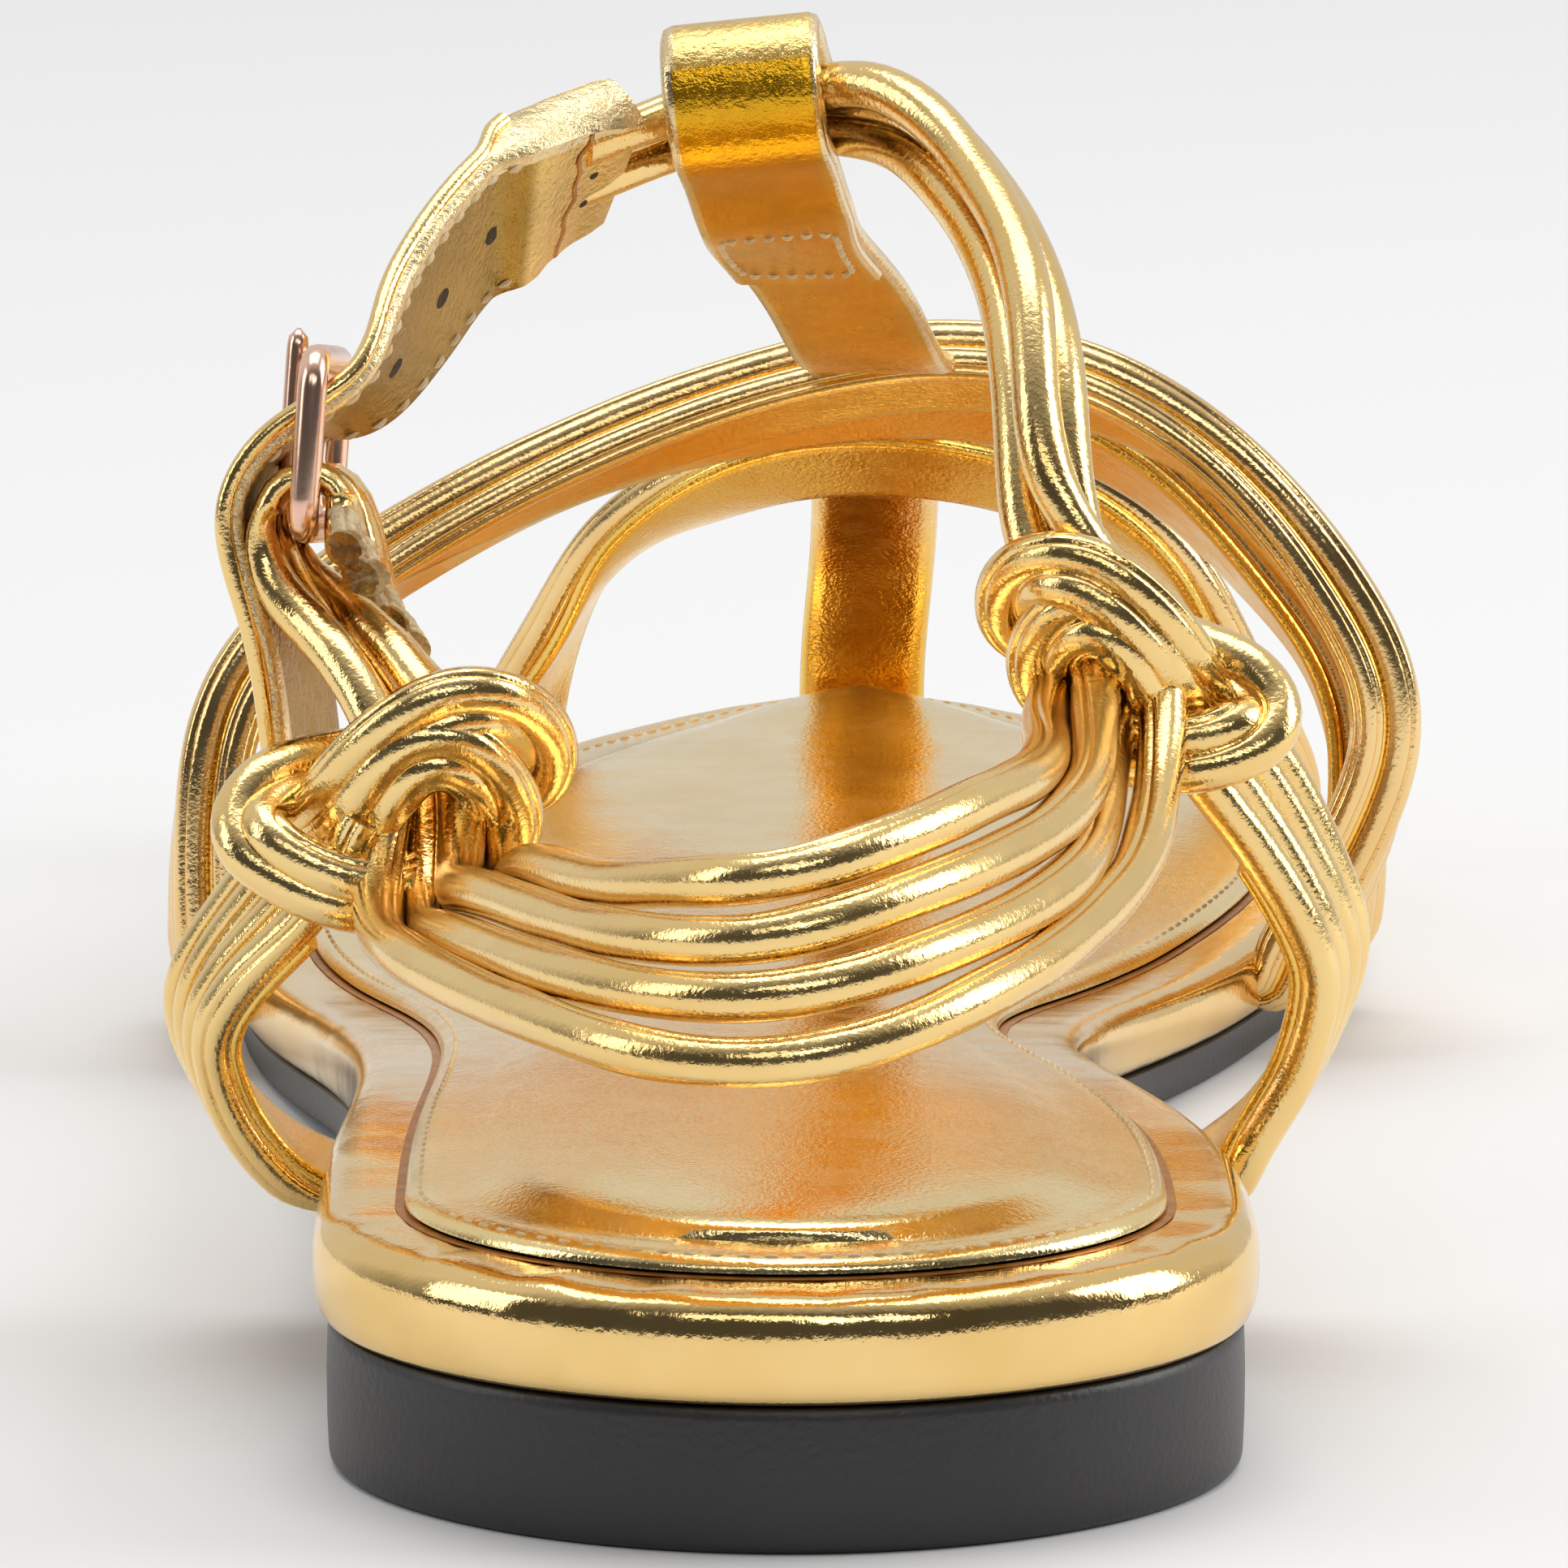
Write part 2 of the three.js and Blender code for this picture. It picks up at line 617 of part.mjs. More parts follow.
// Ankle strap: flat, from the folded end beside the loop through the buckle to the free end
const ankleColumns = ["x", "along", "rise", "i", "j", "k"];
const ankleRows = table(ankleColumns, [
  [-0.41, 0.366, 0.9, 0.1, 0.84, -0.53],
  [-0.53, 0.353, 0.875, 0.2, 0.84, -0.5],
  [-0.68, 0.328, 0.825, 0.28, 0.85, -0.44],
  [-0.82, 0.302, 0.744, 0.28, 0.89, -0.33],
  [-0.95, 0.281, 0.676, 0.18, 0.95, -0.22],
  [-1.1, 0.274, 0.635, 0.1, 0.98, -0.18],
  [-1.185, 0.272, 0.565, 0.1, 0.98, -0.15],
  [-1.11, 0.27, 0.46, 0.22, 0.96, -0.1],
  [-1.05, 0.27, 0.3, 0.25, 0.95, -0.1],
]);
const ankleRoute = ankleRows.map(({ x, along, rise, i, j, k }) =>
  row(placed(x, along, rise, halfHeel, ankleHeight), new THREE.Vector3(i, j, k)),
);

// Buckle: a round wire bent to a frame around the ankle strap, with its lower bar in the cords' fold
const barPlace = placed(-1.032, 0.274, 0.55, halfHeel, ankleHeight);
const barAxis = new THREE.Vector3(0.06, 0.98, -0.17).normalize();
const frameUp = new THREE.Vector3(0.07, 0.17, 0.98);
frameUp.addScaledVector(barAxis, -frameUp.dot(barAxis)).normalize();
const frameOut = new THREE.Vector3().crossVectors(barAxis, frameUp).negate();

function frameWire(radius) {
  const half = buckleOpening / 2 + buckleWire / 2;
  const corner = buckleWire;
  const corners = [
    [-half, 0],
    [half, 0],
    [half, buckleHeight],
    [-half, buckleHeight],
  ];
  const rings = [];
  const section = ringSection(radius, 8);
  corners.forEach(([along, up], index) => {
    const centre = [along - Math.sign(along) * corner, up ? up - corner : corner];
    for (let step = 0; step <= 3; step++) {
      const angle = (index - 2 + step / 3) * (Math.PI / 2);
      const direction = new THREE.Vector3()
        .addScaledVector(barAxis, Math.cos(angle))
        .addScaledVector(frameUp, Math.sin(angle));
      const place = barPlace
        .clone()
        .addScaledVector(barAxis, centre[0])
        .addScaledVector(frameUp, centre[1])
        .addScaledVector(direction, corner);
      rings.push(
        section.map((p) => place.clone().addScaledVector(direction, p.x).addScaledVector(frameOut, p.y)),
      );
    }
  });
  const count = section.length;
  const triangles = [];
  rings.forEach((_, r) => {
    const next = ((r + 1) % rings.length) * count;
    for (let i = 0; i < count; i++) {
      const [a, b] = [r * count + i, r * count + ((i + 1) % count)];
      const [c, d] = [next + i, next + ((i + 1) % count)];
      triangles.push(a, b, d, a, d, c);
    }
  });
  return solid(rings.flat(), triangles);
}

const colours = { gold: 0xd8a548, lining: 0xc98a2c, roseGold: 0xd79a7c, black: 0x3b3838 };
const leather = (color) => new THREE.MeshStandardMaterial({ color, roughness: 0.28, metalness: 0.9 });
const finishes = {
  outsole: new THREE.MeshStandardMaterial({ color: colours.black, roughness: 0.45, metalness: 0 }),
  footbed: leather(colours.gold),
  insole_sock: leather(colours.lining),
  upper_straps: leather(colours.gold),
  knotted_cords: leather(colours.gold),
  ankle_strap: leather(colours.gold),
  buckle_frame: new THREE.MeshStandardMaterial({ color: colours.roseGold, roughness: 0.2, metalness: 1 }),
  buckle_prong: new THREE.MeshStandardMaterial({ color: colours.roseGold, roughness: 0.2, metalness: 1 }),
};

// Outsole with its heel: a full block under the seam, hollowed in front of the heel's breast
function makeOutsole() {
  const block = layer([
    { inset: rimStep + floorBevel, height: () => 0 },
    { inset: rimStep, height: () => floorBevel },
    { inset: rimStep, height: soleTop },
  ]);
  const archPoints = [];
  const first = heelLength / soleLength;
  const steps = 26;
  archPoints.push(new THREE.Vector2(yAt(first), -1));
  for (let i = 0; i <= steps; i++) {
    const y = yAt(first + ((1.04 - first) * i) / steps);
    archPoints.push(new THREE.Vector2(y, soleBottom(y)));
  }
  archPoints.push(new THREE.Vector2(yAt(1.04), -1));
  const rings = [-ballWidth, ballWidth].map((x) =>
    archPoints.map((p) => new THREE.Vector3(x, p.x, p.y)),
  );
  return block.subtract(loft(rings, archPoints));
}

// Footbed: a board wrapped in leather, its edge swelling out between the seam and the rim
function makeFootbed() {
  const between = (share) => (y) => THREE.MathUtils.lerp(boardBottom(y), boardTop(y), share);
  return layer([
    { inset: 1.5, height: boardBottom },
    { inset: 0.35, height: between(0.2) },
    { inset: 0, height: between(0.48) },
    { inset: rimRound * 0.25, height: between(0.8) },
    { inset: rimRound, height: boardTop },
  ]);
}

function makeSock() {
  const raised = (share) => (y) => boardTop(y) + clearance + sockThickness * share;
  return layer(
    [
      { inset: sockInset, height: raised(0) },
      { inset: sockInset, height: raised(0.5) },
      { inset: sockInset + 1.2, height: raised(1) },
    ],
    sockCrown,
  );
}

// T-strap: one flat strip that runs round the ankle cords as a loop and forward under the rear band
function loopRoute() {
  const { place, across, out, tangent } = loopFrame;
  const slack = clearance + loopSlack;
  const reach = 1.5 * 0.92 * cordDiameter + cordDiameter / 2 + slack + tStrapThickness / 2;
  const depth = cordDiameter / 2 + slack + tStrapThickness / 2;
  const at = (along, away) =>
    row(place.clone().addScaledVector(across, along).addScaledVector(out, away), tangent.clone());
  return [
    at(reach, depth * 0.3),
    at(reach * 0.75, depth),
    at(0, depth),
    at(-reach * 0.75, depth),
    at(-reach, 0),
    at(-reach * 0.75, -depth),
    at(0, -depth),
    at(reach * 0.75, -depth),
    at(reach * 1.2, -depth * 0.95),
  ];
}

const tStrapRows = table(["x", "along", "rise"], [
  [-0.01, 0.437, 1.245],
  [0.07, 0.5, 1.14],
  [0.125, 0.555, 1.02],
  [0.15, 0.604, 0.965],
  [0.15, 0.633, 0.935],
  [0.15, 0.655, 0.86],
]);

function tStrapSamples() {
  const down = tStrapRows.map(({ x, along, rise }) =>
    row(placed(x, along, rise, halfBall, instepHeight), new THREE.Vector3(-1, 0.03, 0)),
  );
  return sampleRoute([...loopRoute(), ...down], 4);
}

const bandRoutes = bands.map(bandRoute);
const centreSamples = centreRoute();
const sideStraps = knots.map(sideStrapRoute);
const bandSection = cordedSection(3, bandWidth, bandCord);
const centreSection = cordedSection(3, centreWidth, bandCord);
const sideSection = cordedSection(4, 4 * sideCord, sideCord);

// Share of the cords' height along a strap that thins where it is tucked in at one or both ends
const thinStart = (from, to) => (share) =>
  tuckThin + (1 - tuckThin) * THREE.MathUtils.smoothstep(share, from, to);
const thinEnds = (from, to) => (share) => thinStart(from, to)(Math.min(share, 1 - share));

// The ankle cords with their clearance all round
const cordRoom = () => joined(cordBundle(bundleSamples, 4, cordDiameter + 2 * clearance));

function makeUpper() {
  const pieces = bandRoutes.map((samples) => sweep(samples, bandSection, thinEnds(0.02, 0.12)));
  pieces.push(sweep(centreSamples, centreSection, thinStart(0.03, 0.16)));
  const strip = rectangle(tStrapWidth, -tStrapThickness / 2, tStrapThickness / 2);
  pieces.push(sweep(tStrapSamples(), strip));
  return mainBody(joined(pieces).subtract(cordRoom()));
}

function makeCords() {
  const wraps = knots.flatMap((knot) => [
    ...cordBundle(knotRoute(upperWrapRows, knot), 2),
    ...cordBundle(knotRoute(lowerWrapRows, knot), 2),
  ]);
  const straps = sideStraps.map((samples) => sweep(samples, sideSection, thinStart(0.08, 0.3)));
  const cords = joined([...cordBundle(bundleSamples, 4), ...wraps, ...straps]);
  return mainBody(cords.subtract(frameWire(buckleWire / 2 + clearance)));
}

// Ankle strap, thick at its folded end, where it is hollowed for the cords that it holds
function makeAnkleStrap() {
  const samples = sampleRoute(ankleRoute, 6);
  const foldThickness = cordDiameter * heldFlat + 2 * clearance + 1.5 * ankleStrapThickness;
  const length = samples.slice(1).reduce((sum, s, i) => sum + s.place.distanceTo(samples[i].place), 0);
  const foldShare = foldLength / length;
  const thickness = (share) =>
    THREE.MathUtils.lerp(
      foldThickness / ankleStrapThickness,
      1,
      THREE.MathUtils.smoothstep(share, foldShare, foldShare * 1.8),
    );
  const strip = rectangle(ankleStrapWidth, -ankleStrapThickness / 2, ankleStrapThickness / 2);
  const hole = cylinderBetween(...prongEnds(), prongDiameter / 2 + clearance);
  return mainBody(sweep(samples, strip, thickness).subtract(cordRoom()).subtract(hole));
}

// Two ends of the prong: at the cords' bar and over the frame's upper bar
function prongEnds() {
  const lift = buckleWire / 2 + clearance + prongDiameter / 2;
  const root = barPlace.clone().addScaledVector(frameOut, lift);
  const tip = barPlace
    .clone()
    .addScaledVector(frameUp, buckleHeight + buckleWire)
    .addScaledVector(frameOut, lift);
  return [root, tip];
}

function cylinderBetween(from, to, radius) {
  const length = from.distanceTo(to);
  const geometry = new THREE.CylinderGeometry(radius, radius, length, 8);
  const along = to.clone().sub(from).normalize();
  geometry.applyQuaternion(
    new THREE.Quaternion().setFromUnitVectors(new THREE.Vector3(0, 1, 0), along),
  );
  geometry.translate(...from.clone().add(to).multiplyScalar(0.5));
  const points = [];
  for (let i = 0; i < geometry.attributes.position.count; i++) {
    points.push(new THREE.Vector3().fromBufferAttribute(geometry.attributes.position, i));
  }
  return solid(points, Array.from(geometry.index.array));
}

// Room for a strap's foot in the underside of the footbed
function footRoom(samples, width, thick) {
  const section = rectangle(width + 2 * clearance, -lining - clearance, thick + footSlack);
  return sweep(samples, section);
}

function footRooms() {
  const reach = 0.2;
  const start = (samples) => samples.filter((sample) => sample.share < reach);
  const end = (samples) => samples.filter((sample) => sample.share > 1 - reach);
  const bandRoom = (samples) => footRoom(samples, bandWidth, bandCord * cordShow);
  const rooms = bandRoutes.flatMap((samples) => [bandRoom(start(samples)), bandRoom(end(samples))]);
  const tip = centreSamples.filter((sample) => sample.share < 0.25);
  rooms.push(footRoom(tip, centreWidth, bandCord * cordShow));
  for (const samples of sideStraps) {
    const foot = samples.filter((sample) => sample.share < 0.45);
    rooms.push(footRoom(foot, 4 * sideCord, sideCord * cordShow));
  }
  return joined(rooms);
}

const solids = {
  outsole: makeOutsole(),
  footbed: makeFootbed().subtract(footRooms()),
  insole_sock: makeSock(),
  upper_straps: makeUpper(),
  knotted_cords: makeCords(),
  ankle_strap: makeAnkleStrap(),
  buckle_frame: frameWire(buckleWire / 2),
  buckle_prong: cylinderBetween(...prongEnds(), prongDiameter / 2),
};

const group = new THREE.Group();
for (const [name, shape] of Object.entries(solids)) {
  const mesh = shape.getMesh();
  const geometry = new THREE.BufferGeometry();
  geometry.setAttribute("position", new THREE.BufferAttribute(mesh.vertProperties, 3));
  geometry.setIndex(new THREE.BufferAttribute(mesh.triVerts, 1));
  geometry.computeVertexNormals();
  const part = new THREE.Mesh(geometry, finishes[name]);
  part.name = name;
  group.add(part);
}

export default group;
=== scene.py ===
import math

import bmesh
import bpy
import numpy as np
from mathutils import Euler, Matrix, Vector


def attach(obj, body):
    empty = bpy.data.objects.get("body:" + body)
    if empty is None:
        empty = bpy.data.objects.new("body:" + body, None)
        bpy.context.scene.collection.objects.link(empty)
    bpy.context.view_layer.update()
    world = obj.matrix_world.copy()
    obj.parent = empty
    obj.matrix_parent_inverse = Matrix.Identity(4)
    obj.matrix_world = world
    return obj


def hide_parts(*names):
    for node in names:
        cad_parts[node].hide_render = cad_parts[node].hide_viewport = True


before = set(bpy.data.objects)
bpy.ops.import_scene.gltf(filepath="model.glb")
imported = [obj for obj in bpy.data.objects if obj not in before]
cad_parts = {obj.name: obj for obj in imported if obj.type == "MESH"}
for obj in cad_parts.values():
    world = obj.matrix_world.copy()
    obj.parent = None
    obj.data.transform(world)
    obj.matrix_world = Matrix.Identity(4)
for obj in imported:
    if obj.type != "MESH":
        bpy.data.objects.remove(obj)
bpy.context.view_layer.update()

# Left gladiator sandal in gold leather. Tables are in millimetres in the part's own frame:
# origin on the floor under the heel's middle, +Y to the toe, +X to the inner side, +Z up.
mm = 0.001


def unit(vectors):
    return vectors / np.linalg.norm(vectors, axis=-1, keepdims=True)


def smoothCurve(knots, values, at):
    # natural cubic spline: second derivatives from one banded system, zero at both ends
    knots, values = np.asarray(knots, float), np.asarray(values, float)
    step = np.diff(knots)
    inner = np.arange(1, len(knots) - 1)
    matrix = np.eye(len(knots))
    matrix[inner, inner - 1] = step[:-1]
    matrix[inner, inner] = 2 * (step[:-1] + step[1:])
    matrix[inner, inner + 1] = step[1:]
    right = np.zeros_like(values)
    right[1:-1] = 6 * np.diff(np.diff(values, axis=0) / step[:, None], axis=0)
    bend = np.linalg.solve(matrix, right)
    k = np.clip(np.searchsorted(knots, at, side="right") - 1, 0, len(knots) - 2)
    span = step[k][:, None]
    left = (at - knots[k])[:, None]
    rest = span - left
    cubic = (bend[k] * rest ** 3 + bend[k + 1] * left ** 3) / (6 * span)
    lower, upper = (values[j] / span - bend[j] * span / 6 for j in (k, k + 1))
    return cubic + (lower * rest + upper * left)


def smoothStep(share):
    return share * share * (3 - 2 * share)


def runLength(places):
    # length along a line from its first place to each
    return np.concatenate([[0], np.cumsum(np.linalg.norm(np.diff(places, axis=0), axis=1))])


def pickRows(at, length, values):
    return np.stack([np.interp(at, length, values[:, k]) for k in range(3)], 1)


def wobble(length, seed, wave, waves=4):
    # sum of a few sines of different lengths and phases, about 1 high
    draw = np.random.default_rng(seed)
    total = np.zeros_like(length)
    for _ in range(waves):
        total = total + np.sin(length * 2 * math.pi / (wave * draw.uniform(0.6, 1.9)) + draw.uniform(0, 6.3))
    return total / math.sqrt(waves)


# Sole

heelWidth, waistWidth, ballWidth, toeWidth = 62, 52, 84, 48
sole = dict(
    length=245, heelRound=27, toeRound=26, toeDrift=5, heelCentre=28, heelHeight=9.6, foreSole=3.2,
    heelLength=66, toeSpring=1, heelBoard=7, foreBoard=4.8, rimStep=1, sockInset=6, sockThickness=1.1,
    clearance=0.3, stations=150,
)
outlineRows = np.array([  # along, outer, inner as shares of the width named last
    [0.0, 0.49, 0.49, heelWidth], [0.11, 0.498, 0.496, heelWidth], [0.2, 0.497, 0.472, heelWidth],
    [0.3, 0.578, 0.46, waistWidth], [0.4, 0.605, 0.395, waistWidth], [0.49, 0.422, 0.286, ballWidth],
    [0.57, 0.48, 0.378, ballWidth], [0.645, 0.507, 0.452, ballWidth], [0.705, 0.503, 0.49, ballWidth],
    [0.77, 0.462, 0.495, ballWidth], [0.83, 0.386, 0.47, ballWidth], [0.885, 0.525, 0.72, toeWidth],
    [0.93, 0.41, 0.6, toeWidth], [1.0, 0.28, 0.47, toeWidth],
])
sideWidths = outlineRows[:, 1:3] * outlineRows[:, 3:] * [-1, 1]
profileRows = np.array([  # along, share of the heel's rise, share of the toe's spring
    [0.0, 1, 0], [0.14, 1, 0], [0.24, 0.93, 0], [0.33, 0.74, 0], [0.4, 0.5, 0], [0.47, 0.24, 0],
    [0.53, 0.06, 0], [0.58, 0, 0], [0.82, 0, 0], [0.9, 0, 0.2], [1.0, 0, 1],
])


def profileAt(y):
    along = np.clip((np.asarray(y, float) + sole["heelCentre"]) / sole["length"], 0, 1)
    return np.clip(smoothCurve(profileRows[:, 0], profileRows[:, 1:], np.atleast_1d(along)), 0, 1)


def soleBottom(y):
    drop, spring = profileAt(y).T
    return (sole["heelHeight"] - sole["foreSole"]) * drop + sole["toeSpring"] * spring


def soleTop(y):
    return soleBottom(y) + sole["foreSole"]


def boardTop(y):
    extra = (sole["heelBoard"] - sole["foreBoard"]) * profileAt(y)[:, 0]
    return soleTop(y) + sole["clearance"] + sole["foreBoard"] + extra


def outlineSide(along, side):
    # places on one side of the outline; its distance from the middle shrinks over both ends
    # like a quarter of an ellipse
    along = np.atleast_1d(along)
    values = smoothCurve(outlineRows[:, 0], sideWidths, along)
    heelShare = np.minimum(1, along * sole["length"] / sole["heelRound"])
    toeShare = np.minimum(1, (1 - along) * sole["length"] / sole["toeRound"])
    middle = np.where(toeShare < 1, sole["toeDrift"], 0)
    atHeel, atToe = (np.sqrt(np.clip(1 - (1 - share) ** 2, 0, 1)) for share in (heelShare, toeShare))
    edge = values[:, 0] if side < 0 else values[:, 1]
    across = middle + (edge - middle) * (atHeel * atToe)
    return np.stack([across, along * sole["length"] - sole["heelCentre"]], 1)


def outlineLoop(inset):
    # closed loop: heel, outer side, toe, inner side, moved in by inset along its own normal
    along = (1 - np.cos(np.linspace(0, math.pi, sole["stations"] + 1))) / 2
    loop = np.concatenate([outlineSide(along, -1), outlineSide(along[-2:0:-1], 1)])
    tangent = unit(np.roll(loop, -1, 0) - np.roll(loop, 1, 0))
    for _ in range(2):
        tangent = unit(tangent + (np.roll(tangent, 1, 0) + np.roll(tangent, -1, 0)) / 2)
    return loop + np.stack([tangent[:, 1], -tangent[:, 0]], 1) * np.reshape(inset, (-1, 1)), tangent


# Meshes

def faceRows(rows, columns, closed, flip=False):
    # quads of a grid of rows by columns, closed round its columns or open
    wide = columns if closed else columns - 1
    r, c = np.meshgrid(np.arange(rows - 1), np.arange(wide), indexing="ij")
    a = (r * columns + c).ravel()
    b = (r * columns + (c + 1) % columns).ravel()
    quads = np.stack([a, b, b + columns, a + columns], 1)
    return quads[:, ::-1] if flip else quads


def facesOut(points, faces):
    # faces turned the other way round when the closed body's signed volume is negative
    volume = 0.0
    for k in range(1, faces.shape[1] - 1):
        a, b, c = points[faces[:, 0]], points[faces[:, k]], points[faces[:, k + 1]]
        volume += np.einsum("ij,ij->", a, np.cross(b, c))
    return faces if volume > 0 else faces[:, ::-1]


def putMesh(name, parts, material, sharp=50):
    # one object from closed bodies given as (points in mm, quads, uv of each face corner)
    points, quads, uvs, base = [], [], [], 0
    for bodyPoints, bodyQuads, bodyUv in parts:
        points.append(bodyPoints)
        quads.append(bodyQuads + base)
        uvs.append(bodyUv)
        base += len(bodyPoints)
    mesh = bpy.data.meshes.new(name)
    mesh.from_pydata((np.concatenate(points) * mm).tolist(), [], np.concatenate(quads).tolist())
    layer = mesh.uv_layers.new(name="UVMap")
    layer.data.foreach_set("uv", np.concatenate(uvs).astype(np.float32).ravel())
    work = bmesh.new()
    work.from_mesh(mesh)
    bmesh.ops.remove_doubles(work, verts=work.verts, dist=1e-7)
    bmesh.ops.dissolve_degenerate(work, edges=work.edges, dist=1e-7)
    work.to_mesh(mesh)
    work.free()
    mesh.shade_smooth()
    mesh.set_sharp_from_angle(angle=math.radians(sharp))
    piece = bpy.data.objects.new(name, mesh)
    bpy.context.collection.objects.link(piece)
    mesh.materials.append(material)
    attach(piece, "root")
    return piece


def closedTube(rings, length=None):
    # rings of points closed round, with both ends closed by a fan of quads to the ring's middle
    count, sides = rings.shape[:2]
    middles = rings.mean(axis=1, keepdims=True)
    grid = np.concatenate([np.repeat(middles[:1], sides, 1), rings, np.repeat(middles[-1:], sides, 1)])
    if length is None:
        length = runLength(middles[:, 0])
    lengths = np.concatenate([length[:1], length, length[-1:]])
    points = grid.reshape(-1, 3)
    quads = faceRows(count + 2, sides, True)
    r, c = quads[:, 0] // sides, quads[:, 0] % sides
    low, high = lengths[r] * mm, lengths[r + 1] * mm
    left, right = c / sides, (c + 1) / sides
    uv = np.stack([left, low, right, low, right, high, left, high], 1).reshape(-1, 4, 2)
    turned = facesOut(points, quads)
    if turned is not quads:
        uv = uv[:, ::-1]
    return points, turned, uv


def layerBody(levels, crown, across=14, roundEnds=1.6):
    # loops of the outline at rising levels; strips across close the bottom and the top, whose
    # crown is half an ellipse from side to side and falls off like a quarter of one at both ends
    stations = sole["stations"]
    loops = []
    for inset, height in levels:
        flat, _ = outlineLoop(inset)
        loops.append(np.column_stack([flat, height(flat[:, 1])]))
    around = len(loops[0])
    points = [np.concatenate(loops)]
    quads = [faceRows(len(loops), around, True)]
    base = len(points[0])
    order = np.arange(stations + 1)
    share = np.linspace(0, 1, across + 1)
    for loop, lift in ((loops[0], 0), (loops[-1], crown)):
        left, right = loop[order], loop[(around - order) % around]
        grid = left[:, None] * (1 - share[:, None]) + right[:, None] * share[:, None]
        near = np.minimum(1, roundEnds * np.sin(math.pi * order / stations))
        ends = np.sqrt(np.clip(1 - (1 - near) ** 2, 0, 1))
        grid[..., 2] += lift * np.sqrt(np.clip(1 - (2 * share - 1) ** 2, 0, 1)) * ends[:, None]
        points.append(grid.reshape(-1, 3))
        quads.append(faceRows(stations + 1, across + 1, False, flip=lift is crown) + base)
        base += len(points[-1])
    return np.concatenate(points), np.concatenate(quads)


def planUv(points, quads):
    return points[quads][..., :2] * mm


def layerPiece(name, levels, crown, material, shape=None, sharp=50):
    points, quads = layerBody(levels, crown)
    if shape is not None:
        points = shape(points)
    piece = putMesh(name, [(points, quads, planUv(points, quads))], material, sharp)
    work = bmesh.new()
    work.from_mesh(piece.data)
    bmesh.ops.recalc_face_normals(work, faces=work.faces)
    work.to_mesh(piece.data)
    work.free()
    return piece


# Materials

class Paint:
    # the nodes of one material or of the world, fed from the piece's own coordinates
    def __init__(self, owner, shader="Principled BSDF"):
        owner.use_nodes = True
        self.owner = owner
        self.nodes, self.links = owner.node_tree.nodes, owner.node_tree.links
        self.shader = self.nodes[shader]

    def set(self, node, **inputs):
        # each input takes a constant or another node's output
        for name, value in inputs.items():
            socket = node.inputs[name.replace("_", " ")]
            if isinstance(value, bpy.types.NodeSocket):
                self.links.new(value, socket)
            else:
                socket.default_value = value
        return node

    def feed(self, **inputs):
        self.set(self.shader, **inputs)

    def add(self, kind, **inputs):
        return self.set(self.nodes.new("ShaderNode" + kind), **inputs)

    def noise(self, scale, detail=3, roughness=0.5):
        place = self.add("TexCoord").outputs["Object"]
        noise = self.add("TexNoise", Vector=place, Scale=scale, Detail=detail, Roughness=roughness)
        return noise.outputs["Fac"]

    def bump(self, height, distance, **before):
        return self.add("Bump", Height=height, Strength=1, Distance=distance, **before).outputs["Normal"]

    def ramp(self, value, low, high, start=0.35, end=0.65):
        node = self.add("ValToRGB", Fac=value)
        for stop, place, colour in zip(node.color_ramp.elements, (start, end), (low, high)):
            stop.position = place
            stop.color = (*colour, 1)
        return node.outputs["Color"]

    def gloss(self, scale, low, high):
        # roughness between two values in soft patches
        self.feed(Roughness=self.ramp(self.noise(scale), (low,) * 3, (high,) * 3))

    def blend(self, first, second, share, way="MIX"):
        mix = self.nodes.new("ShaderNodeMix")
        mix.data_type, mix.blend_type = "RGBA", way
        self.set(mix, Factor=share, A=first, B=second)
        return next(output for output in mix.outputs if output.type == "RGBA")


def newPaint(name):
    return Paint(bpy.data.materials.new(name))


def foilLeather(name, low, high, rough, grain, dents=0.0, dentSize=0):
    # gold foil on leather: fine grain, soft dents and a slightly uneven colour and gloss
    paint = newPaint(name)
    soft = dict(Normal=paint.bump(paint.noise(dentSize, 2), dents)) if dents else {}
    paint.gloss(320, *rough)
    paint.feed(Base_Color=paint.ramp(paint.noise(90, 4), low, high), Metallic=1,
               Normal=paint.bump(paint.noise(2600, 2, 0.6), grain, **soft))
    return paint.owner


def sideColours(paint, around, edge, outside, inside):
    # a strap's section runs edge, outside, edge, inside: one colour for each
    ramp = paint.add("ValToRGB", Fac=around)
    colours = ramp.color_ramp
    colours.interpolation = "CONSTANT"
    colours.elements[0].color = (*edge, 1)
    colours.elements[1].position, colours.elements[1].color = 0.13, (*outside, 1)
    for place, colour in ((0.51, edge), (0.65, inside)):
        colours.elements.new(place).color = (*colour, 1)
    return ramp.outputs["Color"]


def stripLeather(name, first, later, switch, rough, grain, metal):
    # strap leather with an outside, an inside and pale cut edges; from the length named by switch
    # in metres on, the second pair of colours holds
    paint = newPaint(name)
    edge = (0.93, 0.72, 0.40)
    split = paint.add("SeparateXYZ", Vector=paint.add("TexCoord").outputs["UV"])
    step = paint.add("MapRange", Value=split.outputs["Y"], From_Min=switch[0], From_Max=switch[1])
    tones = [sideColours(paint, split.outputs["X"], edge, *pair) for pair in (first, later)]
    tone = paint.blend(*tones, step.outputs["Result"])
    patches = paint.ramp(paint.noise(130, 4), (0.8, 0.8, 0.8), (1, 1, 1))
    paint.gloss(500, *rough)
    paint.feed(Base_Color=paint.blend(tone, patches, 1.0, "MULTIPLY"), Metallic=metal,
               Normal=paint.bump(paint.noise(1700, 3, 0.65), grain))
    return paint.owner


